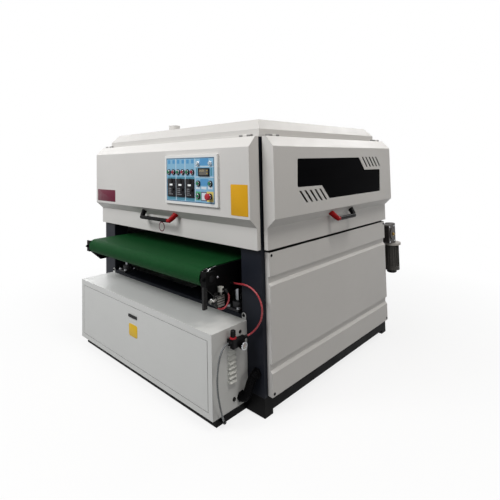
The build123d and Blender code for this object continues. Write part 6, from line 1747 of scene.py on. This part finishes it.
@dataclass
class LouvreHoods:
    """Thin hoods over the vent slots in the cabinet's sides, open below, paler than the cabinet: a painted highlight.
    """

    count: int = 7
    pitch: float = 25.0
    low: float = 200.0
    depth: float = -43.0
    face: float = 764.0
    root: Pair = (28.6, 16.8)
    lip: Pair = (25.0, 2.4)
    proud: float = 17.0
    wall: float = 1.2

    def build(self) -> None:
        """Sets one hood over each slot on both sides, its wall between an outer and an inner skin."""
        shape = Shape()
        new = shape.bm.faces.new
        for side in SIDES:
            for i in range(self.count):
                foot = self.low + self.pitch * i
                (root, lip), (bore, mouth) = (self.skin(shape, side, foot, inset) for inset in (0.0, self.wall))
                new(lip)
                new(mouth)
                for first, second in ((root, lip), (bore, mouth), (root, bore)):
                    for k in range(3):
                        new((first[k], first[k + 1], second[k + 1], second[k]))
                for k in (0, 3):
                    new((root[k], lip[k], mouth[k], bore[k]))
                new((lip[0], lip[3], mouth[3], mouth[0]))
        shape.fit("louvre_hoods", HOOD_HIGHLIGHT_GREY, FRAME_BODY, "cabinet_paint")

    def skin(self, shape: Shape, side: float, foot: float, inset: float) -> list[list]:
        """Adds the root and lip corners of a hood's outer or inner skin.

        Args:
            shape: Where the corners go.
            side: Side of the cabinet, -1 or 1.
            foot: Height of the hood's open edge.
            inset: How far the skin lies inside the outer one.

        Returns:
            Four root corners and four lip corners, each from the near foot over the top to the far foot.
        """
        rings = []
        for (half, rise), out in ((self.root, 0.0), (self.lip, self.proud - inset)):
            near, far, top = self.depth - half + inset, self.depth + half - inset, foot + rise - inset
            corners = ((near, foot), (near, top), (far, top), (far, foot))
            rings.append([shape.bm.verts.new(spot(side * (self.face + out), d, z)) for d, z in corners])
        return rings


@dataclass
class CabinetGear:
    """Fronts of the switchgear in the cabinet: breaker lever, contactor faces, duct lids, terminals, coil.

    A face is given by half its width, half its height, how far it stands proud and the radius of its edges.
    """

    middle: float = 268.0
    face_root: float = 1.0
    breaker: Pair = (-582.0, -10.5)
    breaker_face: Edges = (30.0, 44.0, 4.0, 1.5)
    lever: Pair = (-582.0, -14.5)
    lever_face: Edges = (9.0, 20.0, 16.0, 2.5)
    contactors: tuple[float, ...] = (-480.0, -410.0, -340.0, -270.0, -200.0, -130.0)
    contactor_front: float = -18.5
    contactor_face: Edges = (16.0, 20.0, 5.0, 1.4)
    contactor_screws: tuple[Pair, ...] = tuple((dx, dz) for dx in (-14.0, 0.0, 14.0) for dz in (-33.0, 33.0))
    coil: Pair = (-18.0, -35.5)
    coil_face: Edges = (36.0, 50.0, 9.0, 4.0)
    duct_half: float = 637.0
    duct_end: float = 4.0
    duct_feet: Pair = (125.0, 371.0)
    duct_height: float = 40.0
    lid_depths: Pair = (7.1, 13.5)
    lid_over: float = 1.2
    lid_edge: float = 0.9
    finger_depth: float = 36.25
    finger_pitch: float = 13.0
    terminals: Pair = (71.0, 451.0)
    terminal_front: float = 15.5
    terminal_pitch: float = 10.0
    terminal_proud: float = 6.0
    terminal_screws: Pair = (-11.0, 11.0)

    def build(self) -> None:
        """Sets every device's front."""
        self.set_fronts()
        self.set_ducts()
        self.set_terminals()

    def face(self, shape: Shape, x: float, front: float, size: Edges) -> None:
        """Adds the face of one device.

        Args:
            shape: Where it goes.
            x: Its middle.
            front: Depth of the device's front.
            size: Half its width, half its height, how far it stands proud and the radius of its edges.
        """
        wide, tall, proud, edge = size
        shape.block(spot(x - wide, front - proud, self.middle - tall),
                    spot(x + wide, front + self.face_root, self.middle + tall), edge)

    def set_fronts(self) -> None:
        """Sets the breaker's lever and the contactors' dark faces, and the band round the transformer's coil."""
        dark, red, coil = Shape(), Shape(), Shape()
        self.face(dark, *self.breaker, self.breaker_face)
        self.face(red, *self.lever, self.lever_face)
        for x in self.contactors:
            self.face(dark, x, self.contactor_front, self.contactor_face)
        self.face(coil, *self.coil, self.coil_face)
        dark.fit("switch_fronts", INSTRUMENT_BLACK, FRAME_BODY, "instrument_black")
        red.fit("breaker_lever", RED_CAP, FRAME_BODY, "red_plastic")
        coil.fit("transformer_coil", YELLOW_ZINC, FRAME_BODY, "zinc_steel")

    def set_ducts(self) -> None:
        """Sets a lid on each cable duct and the fingers along its upper side."""
        lids, points = Shape(), []
        near, far = self.lid_depths
        count = int(2 * (self.duct_half - self.duct_end) / self.finger_pitch)
        for foot in self.duct_feet:
            top = foot + self.duct_height
            lids.block(spot(-self.duct_half, near, foot - self.lid_over),
                       spot(self.duct_half, far, top + self.lid_over), self.lid_edge)
            points += [spot(self.finger_pitch * (i - (count - 1) / 2), self.finger_depth, top) for i in range(count)]
        lids.fit("duct_lids", KEY_GREY, FRAME_BODY, "zinc_steel")
        BLOCKS.set_out("duct_fingers", KEY_GREY, FRAME_BODY, "zinc_steel", points, UP, RIGHT,
                       width=8.0, length=42.0, height=1.6)

    def set_terminals(self) -> None:
        """Sets the row of terminal clamps, and the clamp screws of the contactors and the terminals."""
        left, right = self.terminals
        count = int((right - left) / self.terminal_pitch)
        row = [left + self.terminal_pitch * (i + 0.5) for i in range(count)]
        clamps = [spot(x, self.terminal_front, self.middle) for x in row]
        BLOCKS.set_out("terminal_clamps", KEY_GREY, FRAME_BODY, "zinc_steel", clamps, FORWARD, RIGHT,
                       width=8.6, length=34.0, height=self.terminal_proud)
        screws = [spot(x + dx, self.contactor_front, self.middle + dz)
                  for x in self.contactors for dx, dz in self.contactor_screws]
        screws += [spot(x, self.terminal_front - self.terminal_proud, self.middle + dz)
                   for x in row for dz in self.terminal_screws]
        CAP_SCREWS.set_out("clamp_screws", ZINC_PLATE, FRAME_BODY, "zinc_steel", screws, FORWARD, RIGHT,
                           head_radius=3.0, head_height=1.6)


@dataclass
class PulleyFaces:
    """Cast faces of the brush and motor pulleys: rim, spokes, hub and its clamp screws."""

    outer_face: float = 863.0
    web: Profile = ((68.5, 0.0), (68.5, 2.4), (67.3, 3.2), (57.5, 3.2), (56.1, 0.8), (35.0, 0.8), (33.6, 4.2))
    web_sides: int = 56
    bore_play: float = 0.4
    spokes: int = 5
    spoke_circle: float = 45.5
    spoke_lift: float = 0.6
    screws: int = 3
    screw_circle: float = 27.5
    screw_lift: float = 4.2
    depths: Pair = (550.0, 1100.0)
    axes: tuple[tuple[str, float, float], ...] = (("brush_{}", 1040.0, 20.0), ("motor_pulley_{}", 1330.0, 14.0))

    def build(self) -> None:
        """Dresses both pulleys of both drives."""
        for number, depth in enumerate(self.depths, 1):
            for pattern, height, shaft in self.axes:
                name, bore = pattern.format(number), shaft + self.bore_play
                body, centre = f"{name}_body", spot(self.outer_face, depth, height)
                hub = ((bore + 1.0, 4.8), (bore, 4.0), (bore, 0.0))
                shape = Shape()
                shape.turned((*self.web, *hub), centre, RIGHT, self.web_sides, ring=True)
                shape.fit(f"{name}_face", PULLEY_IRON, body, "machined_steel")
                spokes = [Vector((0.0, *turn)) for turn in circle(self.spokes)]
                points = [centre + spoke * self.spoke_circle + Vector((self.spoke_lift, 0.0, 0.0)) for spoke in spokes]
                BLOCKS.set_out(f"{name}_spokes", PULLEY_IRON, body, "machined_steel", points, RIGHT, spokes,
                               width=25.0, length=13.0, height=2.2)
                points = [centre + Vector((self.screw_lift, self.screw_circle * cosine, self.screw_circle * sine))
                          for cosine, sine in circle(self.screws)]
                CAP_SCREWS.set_out(f"{name}_screws", PLASTIC_BLACK, body, "zinc_steel", points, RIGHT, BACKWARD,
                                   head_radius=4.2, head_height=1.2)


@dataclass
class HandleGrips:
    """Full sleeves over the bars of the four cover handles, and boots over their arms."""

    arm_radius: float = 13.0
    bar_radius: float = 9.1
    sleeve_radius: float = 13.0
    sleeve_edge: float = 0.8
    stand: float = 55.6
    root_spread: float = 22.0
    bevel_run: Pair = (51.0, 54.0)
    boot_line: Profile = (
        (12.0, 0.6), (18.2, 0.6), (19.2, 1.6), (19.0, 4.0), (18.2, 9.0), (17.4, 26.0), (16.6, 46.0), (15.4, 50.0),
        (12.0, 51.0))
    half_lengths: tuple[tuple[str, float], ...] = (("front", 168.0), ("rear", 168.0), ("right", 106.0), ("left", 106.0))

    def build(self) -> None:
        """Slides one sleeve on each bar and one boot on each arm."""
        for side, half in self.half_lengths:
            low, high = (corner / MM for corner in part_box(f"{side}_handle"))
            span = high - low
            along = 0 if span.x > span.y else 1
            away = 1 - along
            centre, aim, out = (low + high) / 2, Vector(), Vector()
            aim[along] = 1.0
            out[away] = math.copysign(1.0, centre[away])
            centre[away] += out[away] * (span[away] / 2 - self.arm_radius)
            centre.z = low.z + self.arm_radius
            self.boots(side, centre, aim * half, out)
            long, edge, wide, bore = 2 * half, self.sleeve_edge, self.sleeve_radius, self.bar_radius
            profile = ((bore, 0.0), (wide - edge, 0.0), (wide, edge), (wide, long - edge), (wide - edge, long),
                       (bore, long))
            shape = Shape()
            shape.turned(profile, centre - aim * half, aim, ring=True)
            shape.fit(f"{side}_handle_grip", FINISH_OF_NODE[f"{side}_handle"], f"{side}_cover_body", "black_plastic")

    def boots(self, side: str, centre: Vector, reach: Vector, out: Vector) -> None:
        """Slides a boot on both arms of a handle, from the cover's bevel to the bar.

        Args:
            side: Side of the machine that the handle is on.
            centre: Middle of its bar.
            reach: From there to the bar's end.
            out: Level direction away from the cover.
        """
        level, drop = self.bevel_run
        square = Vector((out.x * level, out.y * level, -drop)).normalized()
        shape = Shape()
        for end in SIDES:
            spread = reach.normalized() * end * self.root_spread
            foot = centre + reach * end + spread - square * self.stand
            start = len(shape.bm.verts)
            shape.turned(self.boot_line, foot, square, steps=32, ring=True)
            shape.bm.verts.ensure_lookup_table()
            for vert in shape.bm.verts[start:]:
                vert.co -= spread * ((vert.co - foot).dot(square) / self.stand)
        shape.fit(f"{side}_handle_boots", FINISH_OF_NODE[f"{side}_handle"], f"{side}_cover_body", "black_plastic")


@dataclass
class Fasteners:
    """Screws of the lower panels, bolts of the lift flanges and of the cabinet lugs."""

    panel_face: float = 921.0
    panel_depths: Pair = (127.0, 1523.0)
    panel_heights: Pair = (126.0, 865.0)
    flange_x: float = 640.0
    flange_depths: Pair = (143.0, 1507.0)
    flange_top: float = 525.0
    flange_bolts: Pair = (-39.0, 39.0)
    lug: Spot = (745.0, 80.5, 512.0)

    def build(self) -> None:
        """Sets the screws and bolts."""
        screws = [spot(side * self.panel_face, depth, height)
                  for side in SIDES for depth in self.panel_depths for height in self.panel_heights]
        CAP_SCREWS.set_out("panel_screws", PLASTIC_BLACK, FRAME_BODY, "zinc_steel", screws, outward(screws), BACKWARD,
                           ("fasteners",), head_radius=8.0, head_height=4.6)
        bolts = [spot(side * self.flange_x + dx, depth + dy, self.flange_top) for side in SIDES
                 for depth in self.flange_depths for dx in self.flange_bolts for dy in self.flange_bolts]
        HEX_BOLTS.set_out("flange_bolts", ZINC_PLATE, FRAME_BODY, "zinc_steel", bolts, UP, RIGHT,
                          head_radius=9.8, head_height=8.0, washer_radius=13.0, washer_thickness=1.6)
        x, depth, z = self.lug
        lugs = [spot(side * x, depth, z) for side in SIDES]
        HEX_BOLTS.set_out("lug_bolts", BASE_BLACK, FRAME_BODY, "zinc_steel", lugs, FORWARD, RIGHT,
                          head_radius=7.5, head_height=5.0, washer_radius=10.0, washer_thickness=1.2)


def dress_nodes() -> None:
    """Gives every CAD node its finish."""
    for name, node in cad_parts.items():
        slot = node.material_slots[0]
        key = slot.material.name.split(".")[0]
        slot.material = (FINISH_OF_NODE.get(name) or FINISH_OF_SLOT[key]).made()
        LOG.info("%s is finished as %s", name, slot.material.name)


def main() -> None:
    """Builds the studio and every sub-assembly in order."""
    logging.basicConfig(level=logging.INFO, format="%(name)s: %(message)s")
    Studio().build()
    dress_nodes()
    for part in (AirLines(), ControlPanel(), BarePlates(), BrushBay(), AirService(), TableTrim(), PANEL_SHADE_STRIPS,
                 LouvreHoods(), POST_CAPS, CabinetGear(), PulleyFaces(), HandleGrips(), Fasteners()):
        part.build()


if __name__ == "__main__":
    main()
